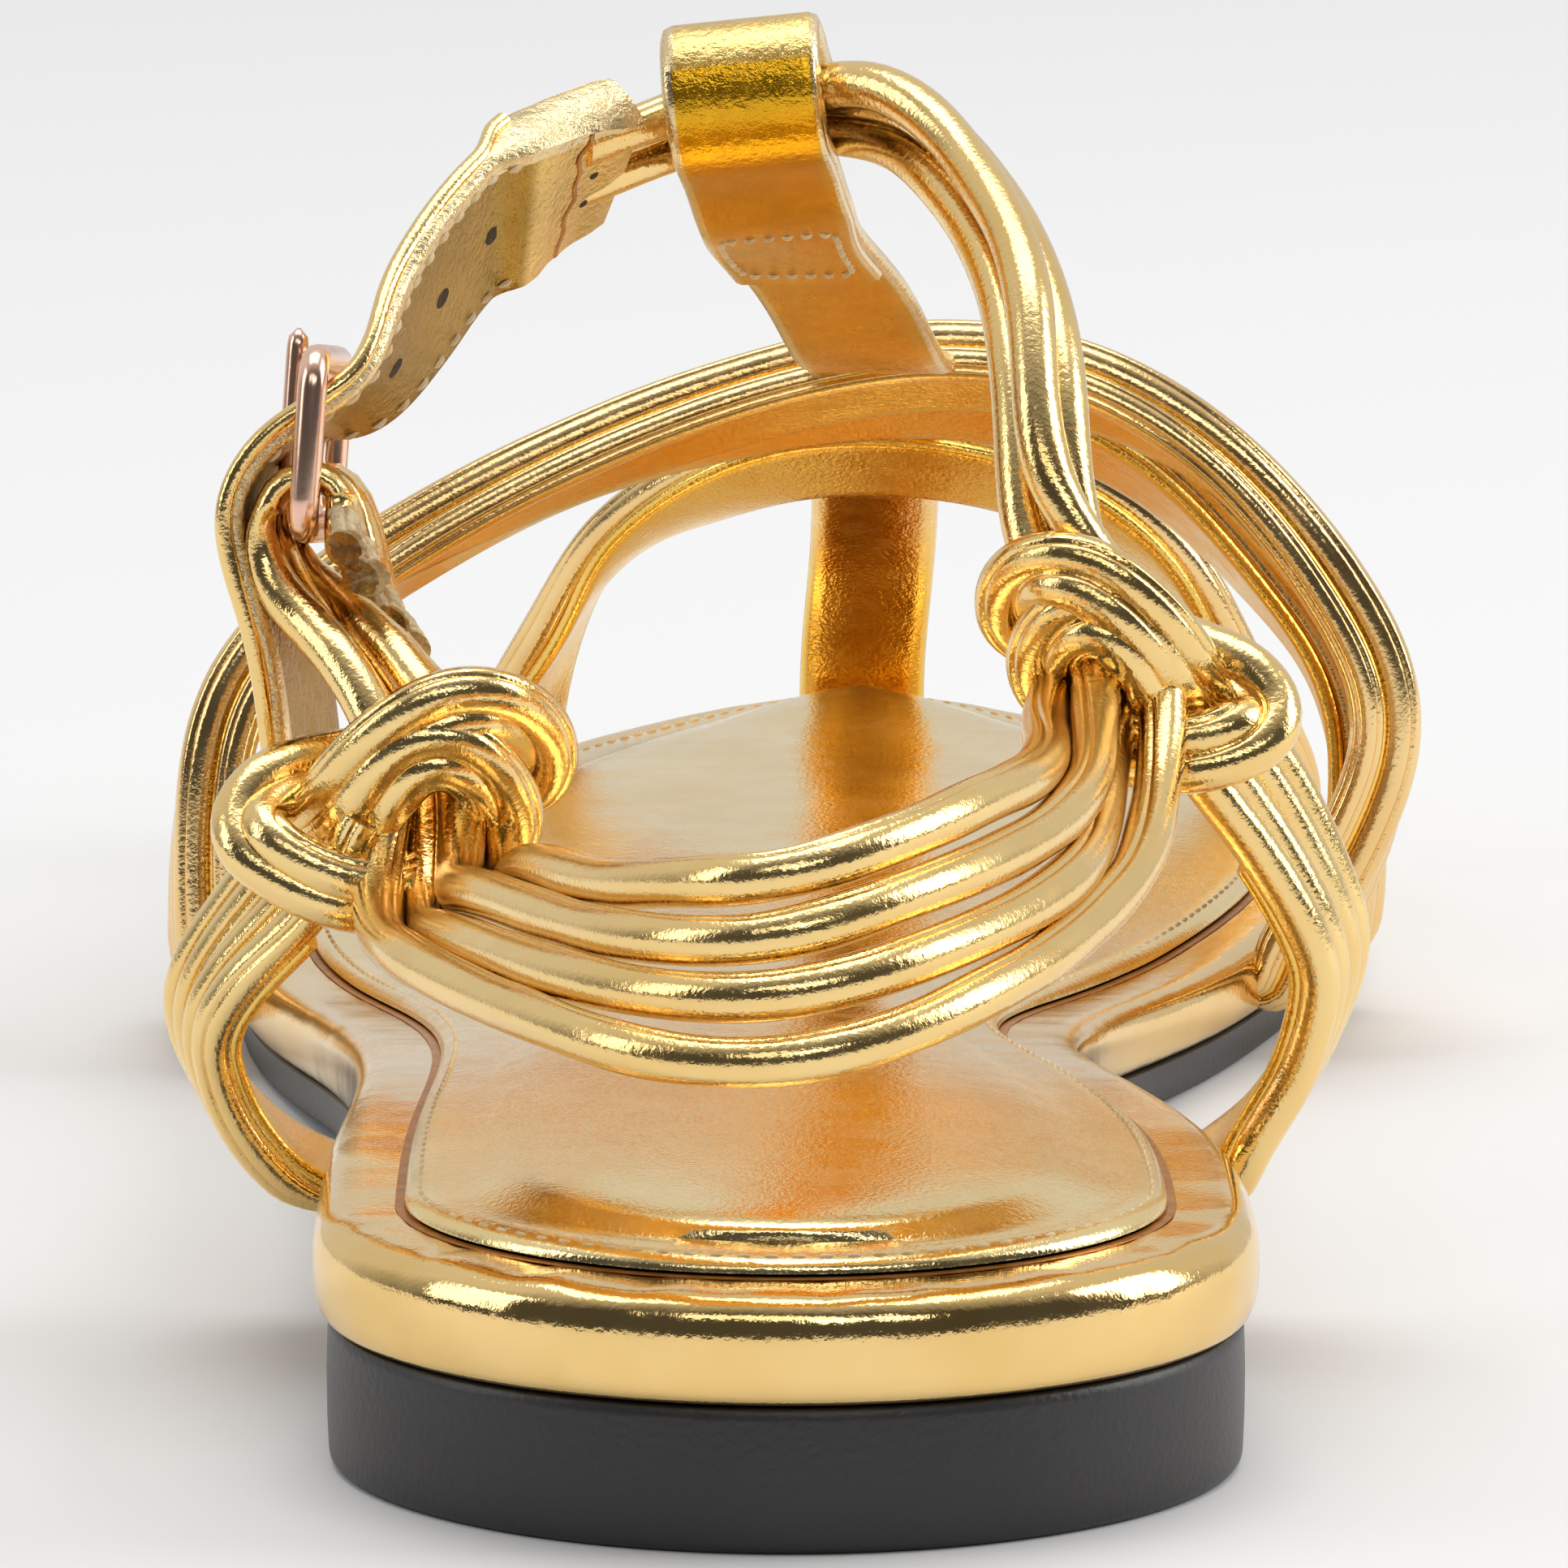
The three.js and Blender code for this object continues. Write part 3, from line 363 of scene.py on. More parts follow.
def plainStuff(name, low, high, rough, metal=0.0, size=900, grain=0.00003):
    # one small plain finish: two close tones in small patches with a fine grain
    paint = newPaint(name)
    paint.feed(Base_Color=paint.ramp(paint.noise(size, 2), low, high), Roughness=rough, Metallic=metal,
               Normal=paint.bump(paint.noise(3 * size, 2), grain))
    return paint.owner


def soleRubber():
    paint = newPaint("blackSole")
    tone = paint.ramp(paint.noise(60, 4), (0.015, 0.0135, 0.0135), (0.021, 0.019, 0.019))
    paint.feed(Base_Color=tone, Roughness=0.4, Specular_IOR_Level=0.6,
               Normal=paint.bump(paint.noise(1800), 0.00005))
    return paint.owner


goldWrap = foilLeather("goldWrap", (0.87, 0.59, 0.22), (0.94, 0.66, 0.28), rough=(0.07, 0.13),
                       grain=0.00002, dents=0.0002, dentSize=90)
goldCord = foilLeather("goldCord", (0.90, 0.62, 0.24), (0.95, 0.69, 0.30), rough=(0.12, 0.2), grain=0.00004)
goldBand = foilLeather("goldBand", (0.87, 0.58, 0.24), (0.94, 0.66, 0.30), rough=(0.12, 0.2), grain=0.00003)
amberLining = foilLeather("amberLining", (0.90, 0.54, 0.10), (0.96, 0.63, 0.16), rough=(0.16, 0.26),
                          grain=0.00006, dents=0.0001, dentSize=200)
sockLeather = foilLeather("sockLeather", (0.93, 0.70, 0.31), (0.98, 0.77, 0.39), rough=(0.12, 0.22),
                          grain=0.00004, dents=0.00012, dentSize=60)
deepAmber, richGold = (0.92, 0.48, 0.02), (0.92, 0.64, 0.22)
# the olive is painted shade: a darker copy of the gold for the ankle strap's shaded inside
shadedOliveGold, paleGold = (0.46, 0.27, 0.05), (0.85, 0.56, 0.18)
tLeather = stripLeather("tStrapLeather", (richGold, deepAmber), (deepAmber, richGold),
                        switch=(0.0196, 0.0204), rough=(0.16, 0.28), grain=0.00012, metal=0.92)
flapLeather = stripLeather("flapLeather", (deepAmber, deepAmber), (deepAmber, deepAmber),
                           switch=(0, 1), rough=(0.14, 0.24), grain=0.0001, metal=0.92)
# past its folded end the strap's inside takes the olive painted shade
ankleLeather = stripLeather("ankleLeather", (richGold, paleGold), (richGold, shadedOliveGold),
                            switch=(0.0095, 0.0105), rough=(0.2, 0.32), grain=0.00018, metal=0.9)
blackSole = soleRubber()
creamThread = plainStuff("creamThread", (0.72, 0.50, 0.24), (0.86, 0.68, 0.42), 0.5)
roseGold = plainStuff("roseGold", (0.88, 0.54, 0.40), (0.94, 0.62, 0.47), 0.2, 1, size=300, grain=0.00001)
holeShade = plainStuff("holeShade", (0.03, 0.015, 0.005), (0.06, 0.03, 0.01), 0.7)
cutLeather = plainStuff("cutLeather", (0.52, 0.34, 0.16), (0.82, 0.66, 0.40), 0.75, size=1300, grain=0.0002)
# painted shade: dark orange-brown for thin strips laid where shade falls, in the sock's groove at the rim
# and along the ankle strap's fold crease
grooveShade = plainStuff("grooveShade", (0.42, 0.17, 0.03), (0.56, 0.25, 0.06), 0.35, metal=0.7)


# Black unit sole with its heel

def makeSole():
    # the bottom edge is a quarter circle, the wall above it bows out by a sine
    breast = sole["heelLength"] - sole["heelCentre"]
    rise = dict(breastRun=1.2, edgeRound=0.9, inset=sole["rimStep"], bow=0.12, topRound=0.3, topDrop=0.25)

    def underside(y):
        # floor under the heel, the arch's underside in front of its breast
        front = np.clip((y - breast) / rise["breastRun"], 0, 1)
        return soleBottom(y) * smoothStep(front)

    def wall(y, share):
        low = underside(y) + rise["edgeRound"]
        return low + (soleTop(y) - low) * share

    levels = []
    for angle in np.linspace(0, math.pi / 2, 5):
        inward = rise["inset"] + rise["edgeRound"] * (1 - math.sin(angle))
        up = rise["edgeRound"] * (1 - math.cos(angle))
        levels.append((inward, lambda y, up=up: underside(y) + up))
    for share in (0.25, 0.6, 0.9):
        bow = rise["bow"] * math.sin(math.pi * share)
        levels.append((rise["inset"] - bow, lambda y, share=share: wall(y, share)))
    levels.append((rise["inset"], lambda y: soleTop(y) - rise["topDrop"]))
    levels.append((rise["inset"] + rise["topRound"], soleTop))
    piece = layerPiece("blackUnitSole", levels, 0.0, blackSole, sharp=60)
    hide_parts("outsole")


def makeFootbed():
    # board wrapped in leather: its edge swells out by powers of a cosine, with pleats where the
    # leather turns round the ends
    wrap = dict(gap=0.22, pleat=0.16, ripple=0.1, upper=(2.5, 1.4), lower=(1.1, 1.2), rings=14,
                tucked=((2.6, 0.15), (1.5, 0.1)), board=(3.6, 4.8, 6.4), endReach=90)
    bottom = lambda y: soleTop(y) + wrap["gap"]
    levels = [(inset, lambda y, lift=lift: bottom(y) + lift) for inset, lift in wrap["tucked"]]
    for share in np.linspace(0, 1, wrap["rings"] + 1):
        angle = math.pi * (share - 0.5)
        reach, power = wrap["upper"] if share > 0.5 else wrap["lower"]
        up = 0.5 + 0.5 * math.sin(angle)
        levels.append((reach * (1 - math.cos(angle)) ** power,
                       lambda y, up=up: bottom(y) + (boardTop(y) - bottom(y)) * up))
    levels += [(inset, boardTop) for inset in wrap["board"]]

    def pleats(points):
        # folds along the edge, strongest at its widest and towards the heel
        loops, around = len(levels), 2 * sole["stations"]
        grid = points[: loops * around].reshape(loops, around, 3)
        outward = unit((grid - grid.mean(axis=1, keepdims=True)) * [1, 1, 0] + 1e-9)
        middle = grid[8]
        at = np.cumsum(np.linalg.norm(np.diff(middle, axis=0, append=middle[:1]), axis=1))
        fold = wobble(at, 3, 5.5, 5) * 0.5 + wobble(at, 4, 13, 4) * 0.5
        heelShare = np.clip(1 - (middle[:, 1] + sole["heelCentre"]) / wrap["endReach"], 0.25, 1)
        height = np.linspace(0, 1, loops)[:, None]
        bell = lambda peak, wide: np.exp(-((height - peak) / wide) ** 2)
        moved = grid + outward * (wrap["pleat"] * fold * heelShare * bell(0.55, 0.3))[..., None]
        moved[..., 2] += wrap["ripple"] * wobble(at, 5, 7, 4) * heelShare * bell(0.85, 0.12)
        shaped = points.copy()
        shaped[: loops * around] = moved.reshape(-1, 3)
        return shaped

    piece = layerPiece("footbedWrap", levels, 0.0, goldWrap, pleats, sharp=70)
    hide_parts("footbed")


def makeSock():
    # padded sock: its edge is a quarter circle stretched inward, its top a low crown
    pad = dict(inset=sole["sockInset"], thick=sole["sockThickness"], crown=1.9, base=0.05, under=0.5,
               roundIn=4.2, wave=0.16, still=0.9, fade=0.6)
    levels = [(pad["inset"] + pad["under"], lambda y: boardTop(y) + pad["base"])]
    for share in np.linspace(0, 1, 9):
        inset = pad["inset"] + pad["roundIn"] * (1 - math.sqrt(1 - share ** 2))
        lift = pad["thick"] * math.sin(math.pi / 2 * share)
        levels.append((inset, lambda y, lift=lift: boardTop(y) + sole["clearance"] + lift))

    def soften(points):
        # gentle waves of the padding, none at its edge
        moved = points.copy()
        wave = wobble(points[:, 1], 11, 46, 3) * wobble(points[:, 0], 12, 38, 2)
        edge = np.clip((points[:, 2] - boardTop(points[:, 1]) - pad["still"]) / pad["fade"], 0, 1)
        moved[:, 2] += pad["wave"] * wave * edge
        return moved

    piece = layerPiece("sockPad", levels, pad["crown"], sockLeather, soften, sharp=60)
    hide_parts("insole_sock")


def stitchBodies(places, across, up, pitch, long, thick):
    # capsules laid end to end along a line: each a short round body of rings, its ends dipping
    # into the leather
    rings, sides, dip = 5, 6, 0.45
    length = runLength(places)
    count = int(length[-1] / pitch)
    at = (np.arange(count) + 0.5) * length[-1] / count
    centre, side, lift = (pickRows(at, length, values) for values in (places, across, up))
    side, lift = unit(side), unit(lift)
    forward = unit(np.cross(side, lift))
    angle = np.arange(sides) * 2 * math.pi / sides
    bodies = []
    for k in range(count):
        place = np.linspace(-0.5, 0.5, rings)
        size = np.sqrt(np.clip(1 - (2 * place) ** 4, 0.08, 1)) * thick / 2
        ring = centre[k] + place[:, None, None] * long * forward[k]
        circle = np.cos(angle)[:, None] * side[k] + np.sin(angle)[:, None] * lift[k]
        ring = ring + size[:, None, None] * circle
        ring = ring - (4 * place ** 2)[:, None, None] * thick * dip * lift[k]
        bodies.append(closedTube(ring))
    return bodies


def makeSockSeams():
    # stitches on the pad's sloping edge, and a dark thin strip of painted shade where it meets the rim
    seam = dict(inset=7.0, pitch=1.75, long=1.3, thick=0.34, lift=1.22, slope=0.5)
    groove = dict(inset=5.75, wide=0.7, lift=0.02, thick=0.07)
    flat, tangent = outlineLoop(seam["inset"])
    flat, tangent = np.vstack([flat, flat[:1]]), np.vstack([tangent, tangent[:1]])
    places = np.column_stack([flat, boardTop(flat[:, 1]) + seam["lift"]])
    across = np.column_stack([tangent[:, 1], -tangent[:, 0], np.zeros(len(flat))])
    up = unit([0, 0, 1] - seam["slope"] * across)
    across = unit(np.cross(up, np.cross(across, up)))
    bodies = stitchBodies(places, across, up, seam["pitch"], seam["long"], seam["thick"])
    loops = []
    for side, rise in ((0.5, 0), (0.5, 1), (-0.5, 1), (-0.5, 0)):
        ring, _ = outlineLoop(groove["inset"] + side * groove["wide"])
        high = boardTop(ring[:, 1]) + groove["lift"] + rise * groove["thick"]
        loops.append(np.column_stack([ring, high]))
    points = np.stack(loops + loops[:1]).reshape(-1, 3)
    quads = facesOut(points, faceRows(5, len(loops[0]), True))
    for piece in (putMesh("sockStitches", bodies, creamThread),
                  putMesh("sockGrooveShade", [(points, quads, planUv(points, quads))], grooveShade)):
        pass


# Routes of straps and cords

def carry(places, acrosses, spacing, extras=None):
    # spline through the places with square-root spacing of its knots, cut into even steps:
    # place, tangent, across and out at each step, and the length so far
    places, acrosses = np.asarray(places, float), np.asarray(acrosses, float)
    knots = np.concatenate([[0], np.cumsum(np.sqrt(np.linalg.norm(np.diff(places, axis=0), axis=1)))])
    dense = np.linspace(0, knots[-1], 60 * len(places))
    fine = smoothCurve(knots, places, dense)
    run = runLength(fine)
    count = max(8, int(run[-1] / spacing))
    length = np.linspace(0, run[-1], count + 1)
    at = np.interp(length, run, dense)
    place = smoothCurve(knots, places, at)
    tangent = unit(np.gradient(place, axis=0))
    across = smoothCurve(knots, unit(acrosses), at)
    across = unit(across - tangent * np.sum(across * tangent, axis=1, keepdims=True))
    route = dict(place=place, tangent=tangent, across=across, out=np.cross(across, tangent), length=length)
    for name, values in (extras or {}).items():
        route[name] = np.interp(at, knots, values)
    route["rowLength"] = np.interp(knots, dense, run)
    return route


def ribbon(route, profile, part=slice(None)):
    # a closed section (across, out) carried along a route; it may change from step to step
    section = np.broadcast_to(profile, (len(route["place"]), *np.shape(profile)[-2:]))
    rings = route["place"][:, None] + section[..., :1] * route["across"][:, None]
    rings = rings + section[..., 1:] * route["out"][:, None]
    return closedTube(rings[part], route["length"][part])


def flatSection(width, thick, low=None, edges=5, across=8):
    # flat strip with round edges, from low to low + thick
    low = -thick / 2 if low is None else low
    half, radius = width / 2, thick / 2
    angle = np.linspace(-math.pi / 2, math.pi / 2, edges)
    right = np.stack([half - radius + radius * np.cos(angle), low + radius + radius * np.sin(angle)], 1)
    steps = np.linspace(half - radius, radius - half, across + 1)[1:-1]
    top = np.stack([steps, np.full(across - 1, low + thick)], 1)
    left = np.stack([-right[::-1, 0], right[::-1, 1]], 1)
    under = np.stack([-steps, np.full(across - 1, low)], 1)
    return np.concatenate([right, top, left, under])


def cordSection(diameter, grooves, depth=0.13, wide=0.13):
    # circle with fine grooves at the given angles, its points closer together beside them
    angle = np.linspace(0, 2 * math.pi, 25)[:-1]
    for at in grooves:
        angle = np.concatenate([angle, at + np.array([-0.2, -0.1, 0, 0.1, 0.2])])
    angle = np.unique(np.round(np.mod(angle, 2 * math.pi), 2))
    radius = np.full(len(angle), diameter / 2)
    for at in grooves:
        away = np.angle(np.exp(1j * (angle - at)))
        radius = radius * (1 - depth * np.exp(-(away / wide) ** 2))
    return np.stack([radius * np.cos(angle), radius * np.sin(angle)], 1)


def cordAlong(route, across, out, diameter, seed, flat=1.0, grooves=(0.7, -0.62), sway=0.12,
              part=slice(None)):
    # round cord beside a route: small sway and thickness changes keep it from looking turned
    length = route["length"]
    section = cordSection(diameter, grooves)
    size = 1 + 0.02 * wobble(length, seed, 14)
    across = across + sway * wobble(length, seed + 100, 34)
    out = out + sway * 0.8 * wobble(length, seed + 150, 29)
    wide = across[:, None, None] + section[:, :1] * size[:, None, None]
    high = out[:, None, None] + section[:, 1:] * (size * flat)[:, None, None]
    rings = route["place"][:, None] + wide * route["across"][:, None] + high * route["out"][:, None]
    return closedTube(rings[part], length[part])


straps = dict(
    instep=45.6, ankle=70, cord=3.3, bandWidth=11, bandCord=3.6, lining=1.2, centreWidth=9.6, tWidth=11,
    tThick=1.6, ankleWidth=12.4, ankleThick=1.6, tuck=6, standOff=1.8, seamLift=1.5, sideCord=3,
    outerKnot=15.6, innerKnot=13.2, wrapPitch=0.62,
)


def placed(rows, halfWidth, height):
    # x share of a half width, share of the length and rise share of a height over the footbed
    rows = np.asarray(rows, float)
    y = rows[:, 1] * sole["length"] - sole["heelCentre"]
    return np.stack([rows[:, 0] * halfWidth, y, boardTop(y) + rows[:, 2] * height], 1)


def placedHigh(rows):
    return placed(rows, heelWidth / 2, straps["ankle"])


def placedLow(rows):
    return placed(rows, ballWidth / 2, straps["instep"])


def strapFoot(along, side, turn):
    # foot of a strap: tucked under the footbed, out past the rim and up
    wall = straps["standOff"]
    edge = outlineSide(along, side)[0]
    forward = unit(outlineSide(along + 0.01, side)[0] - outlineSide(along - 0.01, side)[0])
    outward = np.array([forward[1], -forward[0]]) * side
    across = np.array([*forward, 0]) * turn
    seam = soleTop(edge[1])[0] + straps["seamLift"]
    at = lambda reach, z: [*(edge + outward * reach), z]
    rows = [at(-straps["tuck"], seam), at(wall * 0.25, seam + 0.2), at(wall, boardTop(edge[1])[0] - 1)]
    return np.array(rows), np.array([across] * 3)


bands = [  # feet at the outer and inner side, then x, along, rise, dip
    dict(name="rear", feet=(0.598, 0.622), rows=[
        [-1.01, 0.604, 0.34, 0.1], [-0.88, 0.612, 0.53, 0.25], [-0.57, 0.622, 0.7, 0.45],
        [-0.19, 0.631, 0.84, 0.58], [0.19, 0.634, 0.92, 0.6], [0.48, 0.632, 0.9, 0.55],
        [0.75, 0.628, 0.77, 0.4], [0.96, 0.624, 0.56, 0.2], [1.035, 0.622, 0.31, 0.08]]),
    dict(name="front", feet=(0.64, 0.66), rows=[
        [-0.97, 0.648, 0.33, 0.1], [-0.77, 0.666, 0.52, 0.3], [-0.42, 0.684, 0.7, 0.45],
        [-0.05, 0.694, 0.79, 0.5], [0.29, 0.696, 0.81, 0.5], [0.6, 0.688, 0.72, 0.45],
        [0.84, 0.676, 0.52, 0.3], [0.97, 0.666, 0.31, 0.1]]),
    dict(name="toe", feet=(0.912, 0.876), rows=[
        [-0.43, 0.892, 0.27, 0.2], [-0.26, 0.862, 0.46, 0.4], [-0.05, 0.838, 0.57, 0.55],
        [0.17, 0.827, 0.6, 0.6], [0.43, 0.831, 0.55, 0.55], [0.66, 0.845, 0.41, 0.4],
        [0.8, 0.86, 0.22, 0.2]]),
]


def bandRoute(band):
    rows = np.array(band["rows"])
    outer, outerAcross = strapFoot(band["feet"][0], -1, -1)
    inner, innerAcross = strapFoot(band["feet"][1], 1, -1)
    across = np.stack([np.zeros(len(rows)), -np.ones(len(rows)), rows[:, 3]], 1)
    places = np.vstack([outer, placedLow(rows), inner[::-1]])
    return carry(places, np.vstack([outerAcross, across, innerAcross[::-1]]), 0.9)


def flatCords(route, offsets, lift, diameter, show, seed):
    # cords side by side on a lining, flatter and lower where the strap is tucked in
    return [cordAlong(route, np.full(len(show), offset), lift * show, diameter, seed + k, flat=show,
                      sway=0.06) for k, offset in enumerate(offsets)]


def cordedBand(route, name, width, seed):
    # lining strip with three cords side by side on its outside, thin where they are tucked in
    look = dict(margin=0.4, lift=0.22, swell=1.06, over=0.5, roll=2.6, rollAside=0.3)
    length, lining = route["length"], straps["lining"]
    near = length if name == "centre" else np.minimum(length, length[-1] - length)
    show = 0.35 + 0.65 * smoothStep(np.clip((near - 4) / 6, 0, 1))
    cord, pitch = straps["bandCord"], (width - look["margin"]) / 3
    offsets = np.array([-1, 0, 1]) * pitch
    bodies = flatCords(route, offsets, cord * look["lift"], min(cord, pitch * look["swell"]), show, seed)
    strip = ribbon(route, flatSection(width + look["over"], lining, -lining, across=10))
    cords = putMesh(name + "BandCords", bodies, goldBand)
    made = [cords, putMesh(name + "BandLining", [strip], amberLining)]
    if name == "rear":
        # rolled edge on the side of the heel
        edge = np.full(len(length), width / 2 - look["rollAside"])
        low = -lining * show - look["rollAside"]
        roll = cordAlong(route, edge, low, look["roll"], seed + 9, flat=show, sway=0.05)
        made.append(putMesh("rearBandRoll", [roll], goldBand))


centreRows = [  # x, along, rise
    [0.12, 1.004, 0.04], [0.135, 0.98, 0.24], [0.143, 0.93, 0.43], [0.145, 0.872, 0.58],
    [0.147, 0.824, 0.675], [0.148, 0.76, 0.74], [0.148, 0.697, 0.84], [0.148, 0.65, 0.87],
]


def centreRoute():
    tip = outlineSide(1.0, 1)[0]
    seam = soleTop(tip[1])[0] + straps["seamLift"]
    start = [[tip[0], tip[1] - straps["tuck"], seam],
             [tip[0], tip[1] + straps["standOff"] * 0.7, seam + 0.4]]
    places = np.vstack([start, placedLow(centreRows)])
    return carry(places, np.tile([-1.0, 0, 0], (len(places), 1)), 0.9)


# Knots: one route for both, mirrored. out is away from the foot, ahead to the toe, up is up,
# all shares of the knot's size; the last three columns are the direction across the cords.
upperWrapRows = np.array([
    [0.42, 0.05, -0.2, 0.8, 0, 0.6], [0.3, -0.14, -0.01, 0.8, 0, 0.6],
    [0.17, -0.26, 0.16, 0.7, 0, 0.7], [0.0, -0.32, 0.3, 0.4, 0, 0.9],
    [-0.17, -0.3, 0.375, 0.15, 0, 1], [-0.33, -0.22, 0.36, -0.25, 0, 0.95],
    [-0.45, -0.08, 0.28, -0.75, 0, 0.66], [-0.52, 0.08, 0.15, -1, 0, 0.1],
    [-0.5, 0.24, 0.0, -0.8, 0, -0.6], [-0.38, 0.36, -0.06, -0.3, 0, -0.95],
    [-0.15, 0.42, -0.04, 0, 0, -1], [0.15, 0.36, 0.0, 0, 0, -1],
    [0.42, 0.2, -0.01, -0.3, 0, -0.95], [0.6, 0.04, -0.04, -0.7, 0, -0.7],
    [0.7, -0.1, -0.13, -1, 0, 0], [0.68, -0.22, -0.22, -0.85, 0, 0.5],
    [0.55, -0.3, -0.31, -0.5, 0, 0.87], [0.36, -0.32, -0.4, -0.33, 0, 0.94],
    [0.13, -0.24, -0.45, -0.2, 0, 0.98], [-0.05, -0.04, -0.42, 0, 0, 1],
])
lowerWrapRows = np.array([
    [0.38, 0.02, -0.32, 0.8, 0, 0.6], [0.27, -0.12, -0.19, 0.8, 0, 0.6],
    [0.15, -0.24, -0.01, 0.75, 0, 0.65], [0.02, -0.3, 0.14, 0.4, 0, 0.9],
    [-0.12, -0.3, 0.18, -0.1, 0, 1], [-0.26, -0.24, 0.11, -0.68, 0, 0.73],
    [-0.355, -0.12, -0.04, -0.94, 0, 0.34], [-0.37, 0.02, -0.19, -0.98, 0, -0.2],
    [-0.3, 0.16, -0.31, -0.56, 0, -0.83], [-0.15, 0.24, -0.34, 0, 0, -1],
    [0.08, 0.2, -0.32, 0.1, 0, -1], [0.26, 0.08, -0.3, 0, 0, -1],
])
knots = [  # strapRows: x share of half the heel, along, rise of the ankle height, turn to the back
    dict(name="outer", side=-1, size=straps["outerKnot"], centre=[-0.8, 0.212, 0.335], lean=0, foot=0.25,
         strapRows=np.array([
             [-1.15, 0.247, -0.03, 0.1], [-1.235, 0.243, 0.03, 0.18], [-1.26, 0.238, 0.085, 0.25],
             [-1.22, 0.233, 0.135, 0.32], [-1.13, 0.227, 0.19, 0.4], [-1.05, 0.221, 0.24, 0.44],
             [-0.99, 0.216, 0.295, 0.48], [-0.95, 0.214, 0.33, 0.5]])),
    dict(name="inner", side=1, size=straps["innerKnot"], centre=[0.71, 0.212, 0.464], lean=0.22, foot=0.245,
         strapRows=np.array([
             [1.0, 0.244, -0.025, 0.1], [1.085, 0.243, 0.035, 0.16], [1.14, 0.24, 0.095, 0.2],
             [1.16, 0.237, 0.15, 0.26], [1.12, 0.233, 0.21, 0.32], [1.035, 0.229, 0.283, 0.4],
             [0.945, 0.224, 0.345, 0.45], [0.87, 0.22, 0.395, 0.5]])),
]


def knotRoute(rows, knot):
    # mirrored to the knot's side, and lowered towards its outer end by its lean
    flip = np.array([knot["side"], 1, 1])
    places = rows[:, :3] - rows[:, :1] * knot["lean"] * [0, 0, 1]
    return carry(placedHigh([knot["centre"]])[0] + places * flip * knot["size"], rows[:, 3:] * flip, 0.5)


def makeKnot(knot, seed):
    # two wraps of two cords each, one cord a little above the other
    bodies = []
    for rows in (upperWrapRows, lowerWrapRows):
        route = knotRoute(rows, knot)
        for k in (-0.5, 0.5):
            offset = np.full(len(route["length"]), k * straps["cord"] * straps["wrapPitch"])
            lift = np.full(len(offset), -0.5 * k)
            bodies.append(cordAlong(route, offset, lift, straps["cord"], seed + len(bodies), sway=0.03))
    putMesh(knot["name"] + "Knot", bodies, goldCord)


